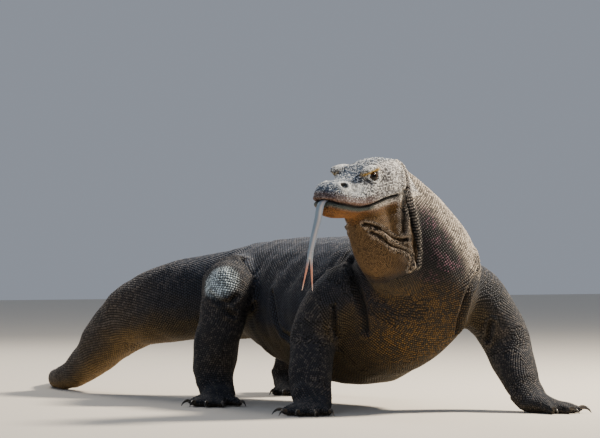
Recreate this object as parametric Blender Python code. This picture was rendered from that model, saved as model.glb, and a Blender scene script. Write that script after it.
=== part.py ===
"""Komodo dragon: a still, life-size model of an adult male, standing with its head raised.

Metres, +Z up.  The body is laid out in a skeleton frame whose origin is on the floor under
the pelvis: -Y is forward along the trunk, +X is the animal's left.  At the end the whole
model is moved so that its origin is the bottom centre of its own box.

The flesh is modelled as one closed form (lofted lengths and a few muscle masses, fused by
a voxel remesh), cut flat at the floor, and then parted by thin cuts into the lengths that
a person would name.  Eyes, tongue and claws are pieces of their own.
"""

import math

import bmesh
import bpy
import numpy as np
from mathutils import Matrix, Vector

# ------------------------------------------------------------------ driving dimensions
GAP = 0.0003                 # clearance between touching pieces
CUT = 0.0004                 # thickness of the cuts that part the body
VOXEL = 0.0058               # size of the grid that fuses the flesh
SMOOTH_ROUNDS = 5            # rounds of smoothing after the fusing
SIDES = 28                   # corners of a lofted ring
FLESH_TRIANGLES = 5400       # the whole flesh, before it is parted
HEAD_GUARD = 0.5             # how freely the head is thinned (1 is as freely as the body)
FOOT_GUARD = 0.8
GUARD_STRENGTH = 0.0006
HEAD_REGION = (0.12, 0.09, 0.12)             # reach of the head behind, beside and above
FOOT_REGION = (0.055, 0.30)                  # below this height, ahead of this place
SHARP_EDGE = math.radians(55)

# Stations of the trunk and tail: x, y, z of the axis, half width, half height up, down.
TAIL_STATIONS = (
    (0.110, 1.130, 0.0045, 0.004, 0.0045, 0.007),
    (0.054, 1.059, 0.0095, 0.009, 0.011, 0.012),
    (-0.023, 0.965, 0.0150, 0.014, 0.016, 0.017),
    (-0.104, 0.863, 0.0190, 0.018, 0.020, 0.021),
    (-0.175, 0.754, 0.0230, 0.022, 0.025, 0.025),
    (-0.208, 0.658, 0.0275, 0.026, 0.029, 0.030),
    (-0.213, 0.578, 0.045, 0.032, 0.037, 0.039),
    (-0.206, 0.508, 0.077, 0.041, 0.050, 0.052),
    (-0.202, 0.456, 0.111, 0.051, 0.062, 0.062),
    (-0.189, 0.398, 0.155, 0.059, 0.072, 0.073),
    (-0.1705, 0.335, 0.193, 0.068, 0.083, 0.083),
    (-0.135, 0.245, 0.222, 0.080, 0.095, 0.095),
    (-0.084, 0.155, 0.240, 0.090, 0.101, 0.103),
    (-0.028, 0.075, 0.249, 0.099, 0.108, 0.110),
)
TRUNK_STATIONS = (
    (0.000, 0.000, 0.257, 0.113, 0.117, 0.117),
    (0.000, -0.130, 0.243, 0.130, 0.142, 0.143),
    (-0.002, -0.250, 0.228, 0.154, 0.158, 0.158),
    (-0.004, -0.420, 0.217, 0.166, 0.169, 0.169),
    (-0.006, -0.520, 0.226, 0.150, 0.160, 0.156),
    (-0.006, -0.590, 0.246, 0.140, 0.145, 0.148),
)
NECK_STATIONS = (
    (0.000, -0.641, 0.290, 0.142, 0.125, 0.140),
    (-0.0240, -0.675, 0.343, 0.127, 0.110, 0.125),
    (-0.058, -0.694, 0.392, 0.106, 0.092, 0.110),
    (-0.099, -0.7045, 0.441, 0.090, 0.078, 0.095),
    (-0.124, -0.708, 0.477, 0.074, 0.062, 0.078),
    (-0.142, -0.710, 0.500, 0.056, 0.045, 0.055),
)
NECK_DORSAL = Vector((0.55, 0.60, 0.58))     # which way the nape faces, at the skull
# The loose throat under the jaw: x, y, z, half width, front, back.
THROAT_STATIONS = (
    (-0.200, -0.735, 0.450, 0.040, 0.040, 0.040),
    (-0.188, -0.732, 0.425, 0.050, 0.050, 0.050),
    (-0.172, -0.729, 0.392, 0.055, 0.055, 0.055),
    (-0.153, -0.727, 0.360, 0.060, 0.060, 0.060),
    (-0.118, -0.722, 0.328, 0.066, 0.066, 0.066),
    (-0.072, -0.705, 0.303, 0.066, 0.066, 0.066),
)

# Head, in its own frame: x forward, y left, z up, origin midway between the eyes.
HEAD_AT = Vector((-0.2214, -0.7410, 0.511))
HEAD_YAW = math.radians(70)      # turned to the animal's right, from straight ahead
HEAD_PITCH = math.radians(8)     # nose down
HEAD_ROLL = math.radians(2.5)    # left side down
# x, half width, height of the widest line, height above it, depth below it
HEAD_STATIONS = (
    (0.1265, 0.014, -0.035, 0.010, 0.024),
    (0.1210, 0.028, -0.033, 0.020, 0.036),
    (0.1080, 0.0365, -0.030, 0.027, 0.047),
    (0.0850, 0.0385, -0.029, 0.029, 0.053),
    (0.0580, 0.0410, -0.029, 0.031, 0.056),
    (0.0300, 0.0440, -0.028, 0.037, 0.060),
    (0.0000, 0.0500, -0.027, 0.050, 0.064),
    (-0.0300, 0.0570, -0.028, 0.058, 0.068),
    (-0.0600, 0.0620, -0.030, 0.063, 0.070),
    (-0.0900, 0.0620, -0.031, 0.063, 0.068),
    (-0.1150, 0.0550, -0.032, 0.055, 0.060),
    (-0.1350, 0.0400, -0.032, 0.040, 0.044),
)
HEAD_SQUARENESS = 2.5
EYE_AT = Vector((0.0, 0.0400, 0.0))
EYE_RADIUS = 0.0115
# Head masses, given for the left side: centre, radii.
HEAD_MASSES = (
    ("brow", (0.008, 0.0430, 0.0150), (0.035, 0.0120, 0.0125)),
    ("nostril", (0.086, 0.0275, -0.0115), (0.017, 0.0115, 0.0120)),
    ("upper_lip", (0.050, 0.0345, -0.0450), (0.062, 0.0120, 0.0120)),
    ("lid", (0.000, 0.0370, 0.0000), (0.019, 0.0110, 0.0160)),
    ("cheek", (-0.062, 0.0430, -0.0180), (0.050, 0.0250, 0.0420)),
    ("jowl", (-0.058, 0.0360, -0.0780), (0.055, 0.0250, 0.0260)),
)
# Mouth line on the side of the head, from the front of the lips to behind the jaw.
MOUTH_LINE = (
    (0.140, -0.0440),
    (0.112, -0.0440),
    (0.085, -0.0490),
    (0.050, -0.0570),
    (0.015, -0.0620),
    (-0.020, -0.0590),
    (-0.045, -0.0490),
    (-0.064, -0.0450),
    (-0.074, -0.0560),
    (-0.078, -0.0800),
    (-0.080, -0.1450),
)
MOUTH_HALF_WIDTH = 0.10
# Where the head ends: down behind the skull and forward under the jaw.
HEAD_LINE = (
    (-0.122, 0.110),
    (-0.115, 0.030),
    (-0.108, -0.060),
    (-0.092, -0.094),
    (-0.050, -0.104),
    (0.000, -0.102),
    (0.055, -0.104),
)
HEAD_CUT_HALF_WIDTH = 0.12
# Cuts across the tail (after which station, radius), the trunk and the neck.
TAIL_CUTS = ((2, 0.05), (5, 0.08), (9, 0.11), (12, 0.16))
TRUNK_CUT = (Vector((0, -0.30, 0.225)), Vector((0, 1, 0)), 0.26)
NECK_CUT = (Vector((-0.012, -0.662, 0.318)), Vector((-0.35, -0.55, 0.76)), 0.24)
LEG_CUT_RADIUS = 0.12
JOINT_CUT_SHARE = 0.4            # how far below the elbow or knee its cut lies
ZONE_GAP = 0.0015                # clearance between a leg and the trunk
ZONE = 1.18                      # a leg is cut this much wider than its own flesh
JOINT_ZONE = 1.26                # and this much wider at the elbow or knee
FOOT_ZONE = (0.165, 0.165, 0.105)            # half size of the space a foot is cut from
FOOT_ZONE_AHEAD = 0.045          # and how far ahead of the palm its middle lies
LENGTH_SHARE = 0.52              # of a plain length's triangles that are kept once it is cut
DRAW_IN = 0.0004                 # how far a plain length is set back once it is thinned
DETAILED = ("head", "lower_jaw", "neck", "hand", "foot")     # lengths that keep them all

# Tongue, in the head's frame: x, y, z of its middle line, half width.
TONGUE_ROOT = (
    (0.100, 0.000, -0.0455, 0.0070),
    (0.119, 0.000, -0.0460, 0.0080),
    (0.1285, 0.000, -0.0530, 0.0084),
    (0.1445, 0.000, -0.0780, 0.0082),
    (0.1655, 0.001, -0.1170, 0.0070),
    (0.1820, 0.002, -0.1510, 0.0058),
)
TONGUE_TINE_LENGTH = 0.066
TONGUE_TINE_SPREAD = 0.0112
TONGUE_THICKNESS = 0.0042
TONGUE_SIDES = 6
TINE_STATIONS = 5
TINE_ROOT_OFFSET = 0.0026
TINE_SUNK = 0.014                # the tines begin this far up inside the ribbon
TINE_SWING = (-0.006, 0.018)     # their place ahead of the fork, at the root and added by the tip
TINE_HALF_WIDTH = (0.0041, 0.0011)

# Legs: each is a list of named joints (x, y, z, radius across, radius along).
LEGS = {
    "right_front": dict(
        upper=((-0.075, -0.575, 0.262, 0.072, 0.074), (-0.136, -0.5575, 0.250, 0.070, 0.072),
               (-0.170, -0.520, 0.200, 0.057, 0.058), (-0.1830, -0.502, 0.160, 0.052, 0.053)),
        lower=((-0.1830, -0.502, 0.160, 0.052, 0.053), (-0.197, -0.521, 0.120, 0.050, 0.048),
               (-0.216, -0.549, 0.080, 0.049, 0.043), (-0.231, -0.572, 0.048, 0.047, 0.036)),
        palm=(-0.240, -0.603, 0.0205), heading=218.0, front=True),
    "left_front": dict(
        upper=((0.060, -0.640, 0.262, 0.075, 0.078), (0.1225, -0.6706, 0.258, 0.068, 0.070),
               (0.172, -0.682, 0.210, 0.057, 0.060), (0.2062, -0.6876, 0.160, 0.054, 0.056)),
        lower=((0.2062, -0.6876, 0.160, 0.054, 0.056), (0.208, -0.706, 0.120, 0.051, 0.051),
               (0.205, -0.738, 0.082, 0.047, 0.045), (0.199, -0.765, 0.050, 0.045, 0.037)),
        palm=(0.203, -0.803, 0.0205), heading=308.0, front=True),
    "right_hind": dict(
        upper=((-0.030, -0.015, 0.252, 0.080, 0.095), (-0.095, -0.045, 0.260, 0.078, 0.088),
               (-0.160, -0.115, 0.268, 0.068, 0.072), (-0.203, -0.174, 0.262, 0.058, 0.060)),
        lower=((-0.203, -0.174, 0.262, 0.058, 0.060), (-0.213, -0.165, 0.203, 0.054, 0.060),
               (-0.221, -0.150, 0.130, 0.053, 0.055), (-0.2225, -0.137, 0.062, 0.049, 0.047)),
        palm=(-0.230, -0.178, 0.024), heading=226.0, front=False),
    "left_hind": dict(
        upper=((0.030, 0.000, 0.250, 0.080, 0.092), (0.100, 0.000, 0.243, 0.074, 0.084),
               (0.160, -0.005, 0.226, 0.064, 0.068), (0.205, -0.008, 0.202, 0.055, 0.057)),
        lower=((0.205, -0.008, 0.202, 0.055, 0.057), (0.212, 0.050, 0.162, 0.052, 0.055),
               (0.196, 0.122, 0.110, 0.048, 0.050), (0.174, 0.180, 0.064, 0.045, 0.045)),
        palm=(0.166, 0.151, 0.024), heading=246.0, front=False),
}
FRONT_TOES = ((-46, 0.044), (-21, 0.060), (0, 0.068), (20, 0.064), (43, 0.048))
HIND_TOES = ((-34, 0.046), (-16, 0.064), (1, 0.078), (17, 0.084), (42, 0.058))
PALM_FRONT = (0.046, 0.040, 0.024)
PALM_HIND = (0.062, 0.042, 0.026)
TOE_RADIUS = 0.0115
CLAW_LENGTH = 0.030
CLAW_RADIUS = 0.0052
CLAW_BEND = math.radians(52)     # turned down by this much at its tip
CLAW_SUNK = 0.006                # set into the toe
CLAW_ROOT_HEIGHT = 0.0112
CLAW_ARCH = 0.0035
CLAW_DROP = 0.0094
CLAW_TAPER = 0.86
CLAW_SIDES = 6
CLAW_RINGS = 6
TOE_HEIGHT = 0.0145
TOE_TIP_DROP = 0.008


# ------------------------------------------------------------------ small helpers
def smooth_path(points, steps):
    """Catmull-Rom curve through rows of numbers; each row may hold radii as well."""
    rows = np.array(points, dtype=float)
    padded = np.vstack([2 * rows[0] - rows[1], rows, 2 * rows[-1] - rows[-2]])
    out = []
    for i in range(1, len(padded) - 2):
        a, b, c, d = padded[i - 1:i + 3]
        for k in range(steps):
            t = k / steps
            out.append(0.5 * (2 * b + (c - a) * t + (2 * a - 5 * b + 4 * c - d) * t ** 2
                              + (3 * b - a - 3 * c + d) * t ** 3))
    out.append(rows[-1])
    return np.array(out)


def superellipse(angle, squareness):
    """A point of a rounded ring of radius 1; squareness 2 is a circle."""
    power = 2.0 / squareness
    x = math.copysign(abs(math.cos(angle)) ** power, math.cos(angle))
    y = math.copysign(abs(math.sin(angle)) ** power, math.sin(angle))
    return x, y


def loft(bm, rings):
    """Skin a list of rings of points, closed at both ends."""
    made = [[bm.verts.new(p) for p in ring] for ring in rings]
    count = len(made[0])
    for low, high in zip(made, made[1:]):
        for i in range(count):
            j = (i + 1) % count
            bm.faces.new((low[i], low[j], high[j], high[i]))
    bm.faces.new(list(reversed(made[0])))
    bm.faces.new(made[-1])


def tube(bm, stations, dorsal_start, dorsal_end=None, steps=4, squareness=2.15, sides=SIDES):
    """A tube with its own width, height and depth at each station along a smooth path."""
    rows = smooth_path(stations, steps)
    centres = rows[:, :3]
    tangents = np.gradient(centres, axis=0)
    rings = []
    for i, row in enumerate(rows):
        share = i / (len(rows) - 1)
        hint = Vector(dorsal_start).lerp(Vector(dorsal_end or dorsal_start), share)
        ahead = Vector(tangents[i]).normalized()
        side = hint.cross(ahead).normalized()
        up = ahead.cross(side).normalized()
        ring = []
        for k in range(sides):
            c, s = superellipse(2 * math.pi * k / sides, squareness)
            reach = row[4] if s > 0 else row[5]
            ring.append(Vector(row[:3]) + side * (c * row[3]) + up * (s * reach))
        rings.append(ring)
    loft(bm, rings)


def ellipsoid(bm, centre, radii, frame=None, detail=3):
    """A mass of muscle or bone: a sphere drawn out along its frame's axes."""
    place = frame or Matrix.Identity(4)
    size = Matrix.Diagonal((*radii, 1.0))
    matrix = place @ Matrix.Translation(centre) @ size
    bmesh.ops.create_icosphere(bm, subdivisions=detail, radius=1.0, matrix=matrix)


def object_of(name, bm):
    """A new object from a bmesh, with its faces turned outwards."""
    bmesh.ops.recalc_face_normals(bm, faces=bm.faces)
    mesh = bpy.data.meshes.new(name)
    bm.to_mesh(mesh)
    bm.free()
    obj = bpy.data.objects.new(name, mesh)
    bpy.context.collection.objects.link(obj)
    return obj


def apply_modifiers(obj):
    """Replace the object's mesh by the one its modifiers make."""
    graph = bpy.context.evaluated_depsgraph_get()
    graph.update()
    mesh = bpy.data.meshes.new_from_object(obj.evaluated_get(graph))
    obj.modifiers.clear()
    old = obj.data
    obj.data = mesh
    bpy.data.meshes.remove(old)


def material(name, colour, roughness):
    made = bpy.data.materials.new(name)
    made.use_nodes = True
    shader = made.node_tree.nodes["Principled BSDF"]
    shader.inputs["Base Color"].default_value = (*colour, 1.0)
    shader.inputs["Roughness"].default_value = roughness
    shader.inputs["Metallic"].default_value = 0.0
    made.diffuse_color = (*colour, 1.0)
    return made


def head_frame():
    """Placement of the head: x forward, y left, z up."""
    ahead = Vector((-math.sin(HEAD_YAW), -math.cos(HEAD_YAW), 0.0))
    left = Vector((0, 0, 1)).cross(ahead)
    level = Matrix((ahead, left, Vector((0, 0, 1)))).transposed().to_4x4()
    tilt = Matrix.Rotation(HEAD_PITCH, 4, "Y") @ Matrix.Rotation(-HEAD_ROLL, 4, "X")
    return Matrix.Translation(HEAD_AT) @ level @ tilt


# ------------------------------------------------------------------ the flesh, as one form
def add_body(bm):
    level = (0, 0, 1)
    tube(bm, TAIL_STATIONS + TRUNK_STATIONS, level)
    tube(bm, TRUNK_STATIONS[-2:] + NECK_STATIONS, level, NECK_DORSAL, steps=6)
    tube(bm, THROAT_STATIONS, (0.7, -0.7, 0.0), steps=5)


def add_head(bm):
    frame = head_frame()
    rows = smooth_path(HEAD_STATIONS, 4)
    rings = []
    for x, half, wide, above, below in rows:
        ring = []
        for k in range(SIDES):
            c, s = superellipse(2 * math.pi * k / SIDES, HEAD_SQUARENESS)
            reach = above if s > 0 else below
            ring.append(frame @ Vector((x, c * half, wide + s * reach)))
        rings.append(ring)
    loft(bm, rings)
    for _, centre, radii in HEAD_MASSES:
        for side in (1, -1):
            ellipsoid(bm, (centre[0], side * centre[1], centre[2]), radii, frame)


def toes_of(leg):
    """Root, tip and direction of each toe of a leg."""
    angles = FRONT_TOES if leg["front"] else HIND_TOES
    width = PALM_FRONT if leg["front"] else PALM_HIND
    palm = Vector(leg["palm"])
    out = []
    for turn, length in angles:
        angle = math.radians(leg["heading"] + turn)
        ahead = Vector((math.cos(angle), math.sin(angle), 0.0))
        root = Vector((palm.x, palm.y, TOE_HEIGHT)) + ahead * (width[0] * 0.45)
        out.append((root, ahead, length + width[0] * 0.35))
    return out


def add_leg(bm, leg):
    ahead = Vector((math.cos(math.radians(leg["heading"])), math.sin(math.radians(leg["heading"])), 0))
    for part in ("upper", "lower"):
        stations = [(x, y, z, across, along, along) for x, y, z, across, along in leg[part]]
        tube(bm, stations, ahead)
    size = PALM_FRONT if leg["front"] else PALM_HIND
    turn = Matrix.Rotation(math.radians(leg["heading"]), 4, "Z")
    palm = Vector(leg["palm"])
    ellipsoid(bm, (0, 0, 0), size, Matrix.Translation(palm) @ turn)
    joint = leg["lower"][0]
    ellipsoid(bm, joint[:3], (joint[3] * 1.02, joint[3] * 1.02, joint[4] * 1.04))
    wrist = Vector(leg["lower"][-1][:3])
    root = leg["lower"][-1][3]
    tube(bm, [(*wrist, root, root * 0.8, root * 0.8),
              (*wrist.lerp(palm, 0.6), root * 0.95, root * 0.62, root * 0.7),
              (*palm, size[1] * 0.9, size[2] * 0.9, size[2] * 0.9)], (0, 0, 1))
    for base, way, length in toes_of(leg):
        knuckle = base + way * (length * 0.45) + Vector((0, 0, 0.002))
        tip = base + way * length - Vector((0, 0, TOE_TIP_DROP))
        radius = TOE_RADIUS
        tube(bm, [(*base, radius * 1.15, radius * 1.2, radius * 1.2),
                  (*knuckle, radius * 1.1, radius * 1.05, radius * 1.5),
                  (*tip.lerp(knuckle, 0.22), radius, radius * 0.95, radius * 1.2),
                  (*tip, radius * 0.72, radius * 0.72, radius * 0.72)], (0, 0, 1), sides=16)


def flesh():
    """The whole animal in one closed form, flat where it stands."""
    bm = bmesh.new()
    add_body(bm)
    add_head(bm)
    for leg in LEGS.values():
        add_leg(bm, leg)
    body = object_of("flesh", bm)
    fuse = body.modifiers.new("fuse", "REMESH")
    fuse.mode = "VOXEL"
    fuse.voxel_size = VOXEL
    apply_modifiers(body)
    bm = bmesh.new()
    bm.from_mesh(body.data)
    for _ in range(SMOOTH_ROUNDS):
        bmesh.ops.smooth_vert(bm, verts=bm.verts, factor=0.5, use_axis_x=True,
                              use_axis_y=True, use_axis_z=True)
    bm.to_mesh(body.data)
    bm.free()
    thin_out(body)
    stand_flat(body)
    return body


def thin_out(body):
    """Fewer triangles, with most of them kept on the head and the feet."""
    guard = body.vertex_groups.new(name="guard")
    inverse = head_frame().inverted()
    for vertex in body.data.vertices:
        local = inverse @ vertex.co
        share = 1.0
        behind, beside, above = HEAD_REGION
        if local.x > -behind and abs(local.y) < beside and abs(local.z) < above:
            share = HEAD_GUARD
        elif vertex.co.z < FOOT_REGION[0] and vertex.co.y < FOOT_REGION[1]:
            share = FOOT_GUARD
        guard.add([vertex.index], share, "REPLACE")
    triangles = sum(len(face.vertices) - 2 for face in body.data.polygons)
    thin = body.modifiers.new("thin", "DECIMATE")
    thin.ratio = FLESH_TRIANGLES / triangles
    thin.vertex_group = guard.name
    thin.vertex_group_factor = GUARD_STRENGTH
    thin.use_collapse_triangulate = True
    apply_modifiers(body)
    body.vertex_groups.clear()


def stand_flat(body):
    """Cut what lies under the floor, so that the feet and tail stand on small flats."""
    bm = bmesh.new()
    bm.from_mesh(body.data)
    everything = bm.verts[:] + bm.edges[:] + bm.faces[:]
    bmesh.ops.bisect_plane(bm, geom=everything, plane_co=(0, 0, 0), plane_no=(0, 0, 1),
                           clear_inner=True)
    rim = [edge for edge in bm.edges if edge.is_boundary]
    bmesh.ops.holes_fill(bm, edges=rim, sides=0)
    bmesh.ops.triangulate(bm, faces=bm.faces)
    bmesh.ops.recalc_face_normals(bm, faces=bm.faces)
    bm.to_mesh(body.data)
    bm.free()


# ------------------------------------------------------------------ pieces of their own
def eye_form(name, side, swell=0.0):
    bm = bmesh.new()
    centre = head_frame() @ Vector((EYE_AT.x, side * EYE_AT.y, EYE_AT.z))
    bmesh.ops.create_uvsphere(bm, u_segments=14, v_segments=9, radius=EYE_RADIUS + swell,
                              matrix=Matrix.Translation(centre))
    return object_of(name, bm)


def tongue_form(name, swell=0.0):
    """A flat ribbon from the lips that hangs down and forks into two tines."""
    rows = smooth_path(TONGUE_ROOT, 2)
    whole = ribbon(name, rows, swell)
    fork = rows[-1]
    for side in (1, -1):
        tine = []
        for k in range(TINE_STATIONS):
            share = k / (TINE_STATIONS - 1)
            out = side * (TINE_ROOT_OFFSET + TONGUE_TINE_SPREAD * share ** 1.3)
            tine.append((fork[0] + TINE_SWING[0] + TINE_SWING[1] * share, fork[1] + out,
                         fork[2] + TINE_SUNK - (TONGUE_TINE_LENGTH + TINE_SUNK) * share,
                         TINE_HALF_WIDTH[0] * (1 - share) + TINE_HALF_WIDTH[1] * share))
        boolean(whole, ribbon("tine", np.array(tine), swell), "UNION")
    return whole


def ribbon(name, rows, swell):
    """A flat length of tongue through rows of x, y, z and half width, in the head's frame."""
    bm = bmesh.new()
    frame = head_frame()
    rings = []
    for row, ahead in zip(rows, np.gradient(rows[:, :3], axis=0)):
        ahead = Vector(ahead).normalized()
        normal = Vector((0, 1, 0)).cross(ahead).normalized()
        side = ahead.cross(normal)
        thick = min(TONGUE_THICKNESS, row[3] * 1.1) / 2 + swell
        ring = []
        for k in range(TONGUE_SIDES):
            angle = 2 * math.pi * k / TONGUE_SIDES
            ring.append(frame @ (Vector(row[:3]) + side * (math.cos(angle) * (row[3] + swell))
                                 + normal * (math.sin(angle) * thick)))
        rings.append(ring)
    loft(bm, rings)
    return object_of(name, bm)


def claw_form(name, root, ahead, length, swell=0.0):
    """A curved, pointed claw that leaves the end of a toe and bends to the floor."""
    bm = bmesh.new()
    start = Vector((root.x, root.y, CLAW_ROOT_HEIGHT)) + ahead * (length - CLAW_SUNK)
    side = Vector((0, 0, 1)).cross(ahead)
    turns = [2 * math.pi * k / CLAW_SIDES for k in range(CLAW_SIDES)]
    rings = []
    for k in range(CLAW_RINGS):
        share = k / (CLAW_RINGS - 1)
        bend = share * CLAW_BEND
        centre = start + ahead * (CLAW_LENGTH * math.sin(bend) / CLAW_BEND)
        centre += ahead * (swell * (2 * share - 1))
        centre.z += CLAW_ARCH * math.sin(math.pi * share) - CLAW_DROP * share ** 2
        radius = CLAW_RADIUS * (1 - CLAW_TAPER * share ** 1.4) + swell
        up = Vector((0, 0, 1)) * math.cos(bend) + ahead * math.sin(bend)
        rings.append([centre + side * (math.cos(turn) * radius * 0.8)
                      + up * (math.sin(turn) * radius) for turn in turns])
    loft(bm, rings)
    return object_of(name, bm)


def claw_list():
    for leg_name, leg in LEGS.items():
        for number, (root, ahead, length) in enumerate(toes_of(leg), start=1):
            yield f"claw_{leg_name}_{number}", root, ahead, length


# ------------------------------------------------------------------ parting the flesh
def disc(centre, normal, radius):
    """A thin round cut."""
    bm = bmesh.new()
    turn = Vector(normal).to_track_quat("Z", "Y").to_matrix().to_4x4()
    bmesh.ops.create_cone(bm, cap_ends=True, segments=24, radius1=radius, radius2=radius,
                          depth=CUT, matrix=Matrix.Translation(centre) @ turn)
    return object_of("cut_disc", bm)


def head_sheet(line, half_width):
    """A thin bent sheet across the head, along a line seen from its side."""
    bm = bmesh.new()
    frame = head_frame()
    rows = smooth_path(line, 2)
    rings = []
    for (x, z), (tx, tz) in zip(rows, np.gradient(rows, axis=0)):
        across = Vector((-tz, 0, tx)).normalized() * (CUT / 2)
        middle = Vector((x, 0, z))
        corners = ((-1, -1), (1, -1), (1, 1), (-1, 1))
        rings.append([frame @ (middle + Vector((0, side * half_width, 0)) + across * face)
                      for side, face in corners])
    loft(bm, rings)
    return object_of("cut_sheet", bm)


def between(stations, index, share=0.5):
    """A point and a direction between two stations."""
    a = Vector(stations[index][:3])
    b = Vector(stations[index + 1][:3])
    return a.lerp(b, share), (b - a).normalized()


def wrap(bm):
    """Keep only the tight convex skin round what is in a bmesh."""
    result = bmesh.ops.convex_hull(bm, input=bm.verts[:])
    spare = {e for e in result["geom_interior"] + result["geom_unused"]
             if isinstance(e, bmesh.types.BMVert)}
    hull = {e for e in result["geom"] if isinstance(e, bmesh.types.BMFace)}
    bmesh.ops.delete(bm, geom=[f for f in bm.faces if f not in hull], context="FACES_ONLY")
    bmesh.ops.delete(bm, geom=list(spare), context="VERTS")
    bmesh.ops.delete(bm, geom=[e for e in bm.edges if not e.link_faces], context="EDGES")


def leg_heading(leg):
    angle = math.radians(leg["heading"])
    return Vector((math.cos(angle), math.sin(angle), 0.0))


def leg_zone(leg, swell):
    """The space that holds a whole leg, from its root inside the body to its toes."""
    forms = []
    for part in ("upper", "lower"):
        bm = bmesh.new()
        stations = [(x, y, z, across * ZONE + swell, along * ZONE + swell, along * ZONE + swell)
                    for x, y, z, across, along in leg[part]]
        tube(bm, stations, leg_heading(leg), steps=1, sides=10)
        wrap(bm)
        forms.append(object_of("cut_zone", bm))
    middle = Vector(leg["palm"]) + leg_heading(leg) * FOOT_ZONE_AHEAD
    joint = leg["lower"][0]
    for centre, radii in ((joint[:3], [joint[4] * JOINT_ZONE] * 3), (middle, FOOT_ZONE)):
        bm = bmesh.new()
        ellipsoid(bm, centre, [radius + swell for radius in radii], detail=2)
        forms.append(object_of("cut_zone", bm))
    for form in forms[1:]:
        boolean(forms[0], form, "UNION")
    return forms[0]


def boolean(body, cutter, operation):
    """Cut a body with another closed form, and remove that form."""
    cut = body.modifiers.new("cut", "BOOLEAN")
    cut.operation = operation
    cut.solver = "EXACT"
    cut.object = cutter
    apply_modifiers(body)
    bpy.data.objects.remove(cutter)


def copy_of(body, name):
    made = bpy.data.objects.new(name, body.data.copy())
    bpy.context.collection.objects.link(made)
    return made


def spine_cuts():
    """The cuts across the tail, the trunk and the neck: centre, direction, radius."""
    listed = [(*between(TAIL_STATIONS, index), radius) for index, radius in TAIL_CUTS]
    return listed + [TRUNK_CUT, NECK_CUT]


def leg_cuts(leg):
    """The cuts at the elbow or knee, and at the wrist or ankle."""
    joint = Vector(leg["lower"][0][:3])
    below = Vector(leg["lower"][1][:3])
    inward = (Vector(leg["upper"][-2][:3]) - joint).normalized()
    onward = (below - joint).normalized()
    joint = joint.lerp(below, JOINT_CUT_SHARE)
    wrist = Vector(leg["lower"][-1][:3]).lerp(Vector(leg["lower"][-2][:3]), 0.3)
    return ((joint, (onward - inward).normalized(), LEG_CUT_RADIUS),
            (wrist, (0, 0, 1), LEG_CUT_RADIUS))


def seeds():
    """A point near the middle of each length of flesh."""
    frame = head_frame()
    listed = {
        "head": frame @ Vector((-0.02, 0, -0.01)),
        "lower_jaw": frame @ Vector((0.02, 0, -0.075)),
        "neck": Vector((-0.075, -0.70, 0.40)),
        "trunk_front": Vector(TRUNK_STATIONS[3][:3]),
        "trunk_rear": Vector(TRUNK_STATIONS[1][:3]),
    }
    marks = [0] + [index for index, _ in TAIL_CUTS]
    for number, (low, high) in enumerate(zip(marks, marks[1:])):
        middle = TAIL_STATIONS[(low + high + 1) // 2]
        listed[f"tail_{len(TAIL_CUTS) - number}"] = Vector(middle[:3])
    return listed


def leg_seeds(name, leg):
    """A point near the middle of each length of a leg."""
    words = ("upper_arm", "forearm", "hand") if leg["front"] else ("thigh", "shin", "foot")
    places = (leg["upper"][1][:3], leg["lower"][1][:3], leg["palm"])
    return {f"{word}_{name}": Vector(place) for word, place in zip(words, places)}


def part_flesh(body):
    """Cut the sockets, the mouth and the joints, and give each length its own object."""
    lengths = []
    for name, leg in LEGS.items():
        limb = copy_of(body, name)
        boolean(limb, leg_zone(leg, 0.0), "INTERSECT")
        boolean(body, leg_zone(leg, ZONE_GAP), "DIFFERENCE")
        for cut in leg_cuts(leg):
            boolean(limb, disc(*cut), "DIFFERENCE")
        for root, ahead, length in toes_of(leg):
            boolean(limb, claw_form("cut_claw", root, ahead, length, GAP), "DIFFERENCE")
        lengths += separate(limb, leg_seeds(name, leg))
    for side in (1, -1):
        boolean(body, eye_form("cut_eye", side, GAP), "DIFFERENCE")
    boolean(body, tongue_form("cut_tongue", GAP), "DIFFERENCE")
    for cut in spine_cuts():
        boolean(body, disc(*cut), "DIFFERENCE")
    boolean(body, head_sheet(HEAD_LINE, HEAD_CUT_HALF_WIDTH), "DIFFERENCE")
    boolean(body, head_sheet(MOUTH_LINE, MOUTH_HALF_WIDTH), "DIFFERENCE")
    return lengths + separate(body, seeds())


def loose_groups(bm):
    """The faces of each loose body in a mesh."""
    left = set(bm.faces)
    for first in bm.faces:
        if first not in left:
            continue
        left.remove(first)
        stack = [first]
        members = []
        while stack:
            face = stack.pop()
            members.append(face)
            for edge in face.edges:
                for other in edge.link_faces:
                    if other in left:
                        left.remove(other)
                        stack.append(other)
        yield members


def draw_in(piece):
    """Set a thinned length back from its neighbours."""
    inward = [vertex.normal * -DRAW_IN for vertex in piece.data.vertices]
    for vertex, move in zip(piece.data.vertices, inward):
        vertex.co += move


def separate(body, marks):
    """One object for each loose length of flesh, named by the seed nearest to its middle."""
    bm = bmesh.new()
    bm.from_mesh(body.data)
    made = []
    for members in loose_groups(bm):
        area = sum(face.calc_area() for face in members)
        middle = sum((face.calc_center_median() * face.calc_area() for face in members),
                     Vector()) / area
        name = min(marks, key=lambda key: (marks[key] - middle).length)
        new = bmesh.new()
        lookup = {}
        for face in members:
            corners = []
            for vert in face.verts:
                if vert.index not in lookup:
                    lookup[vert.index] = new.verts.new(vert.co)
                corners.append(lookup[vert.index])
            new.faces.new(corners)
        bmesh.ops.triangulate(new, faces=new.faces)
        piece = object_of(name, new)
        if not name.startswith(DETAILED):
            thin = piece.modifiers.new("thin", "DECIMATE")
            thin.ratio = LENGTH_SHARE
            apply_modifiers(piece)
            draw_in(piece)
        made.append(piece)
    bm.free()
    bpy.data.objects.remove(body)
    return made


def finish_pieces(pieces, made):
    for piece in pieces:
        piece.data.materials.clear()
        piece.data.materials.append(made)
        piece.data.shade_smooth()
        piece.data.set_sharp_from_angle(angle=SHARP_EDGE)


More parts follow.
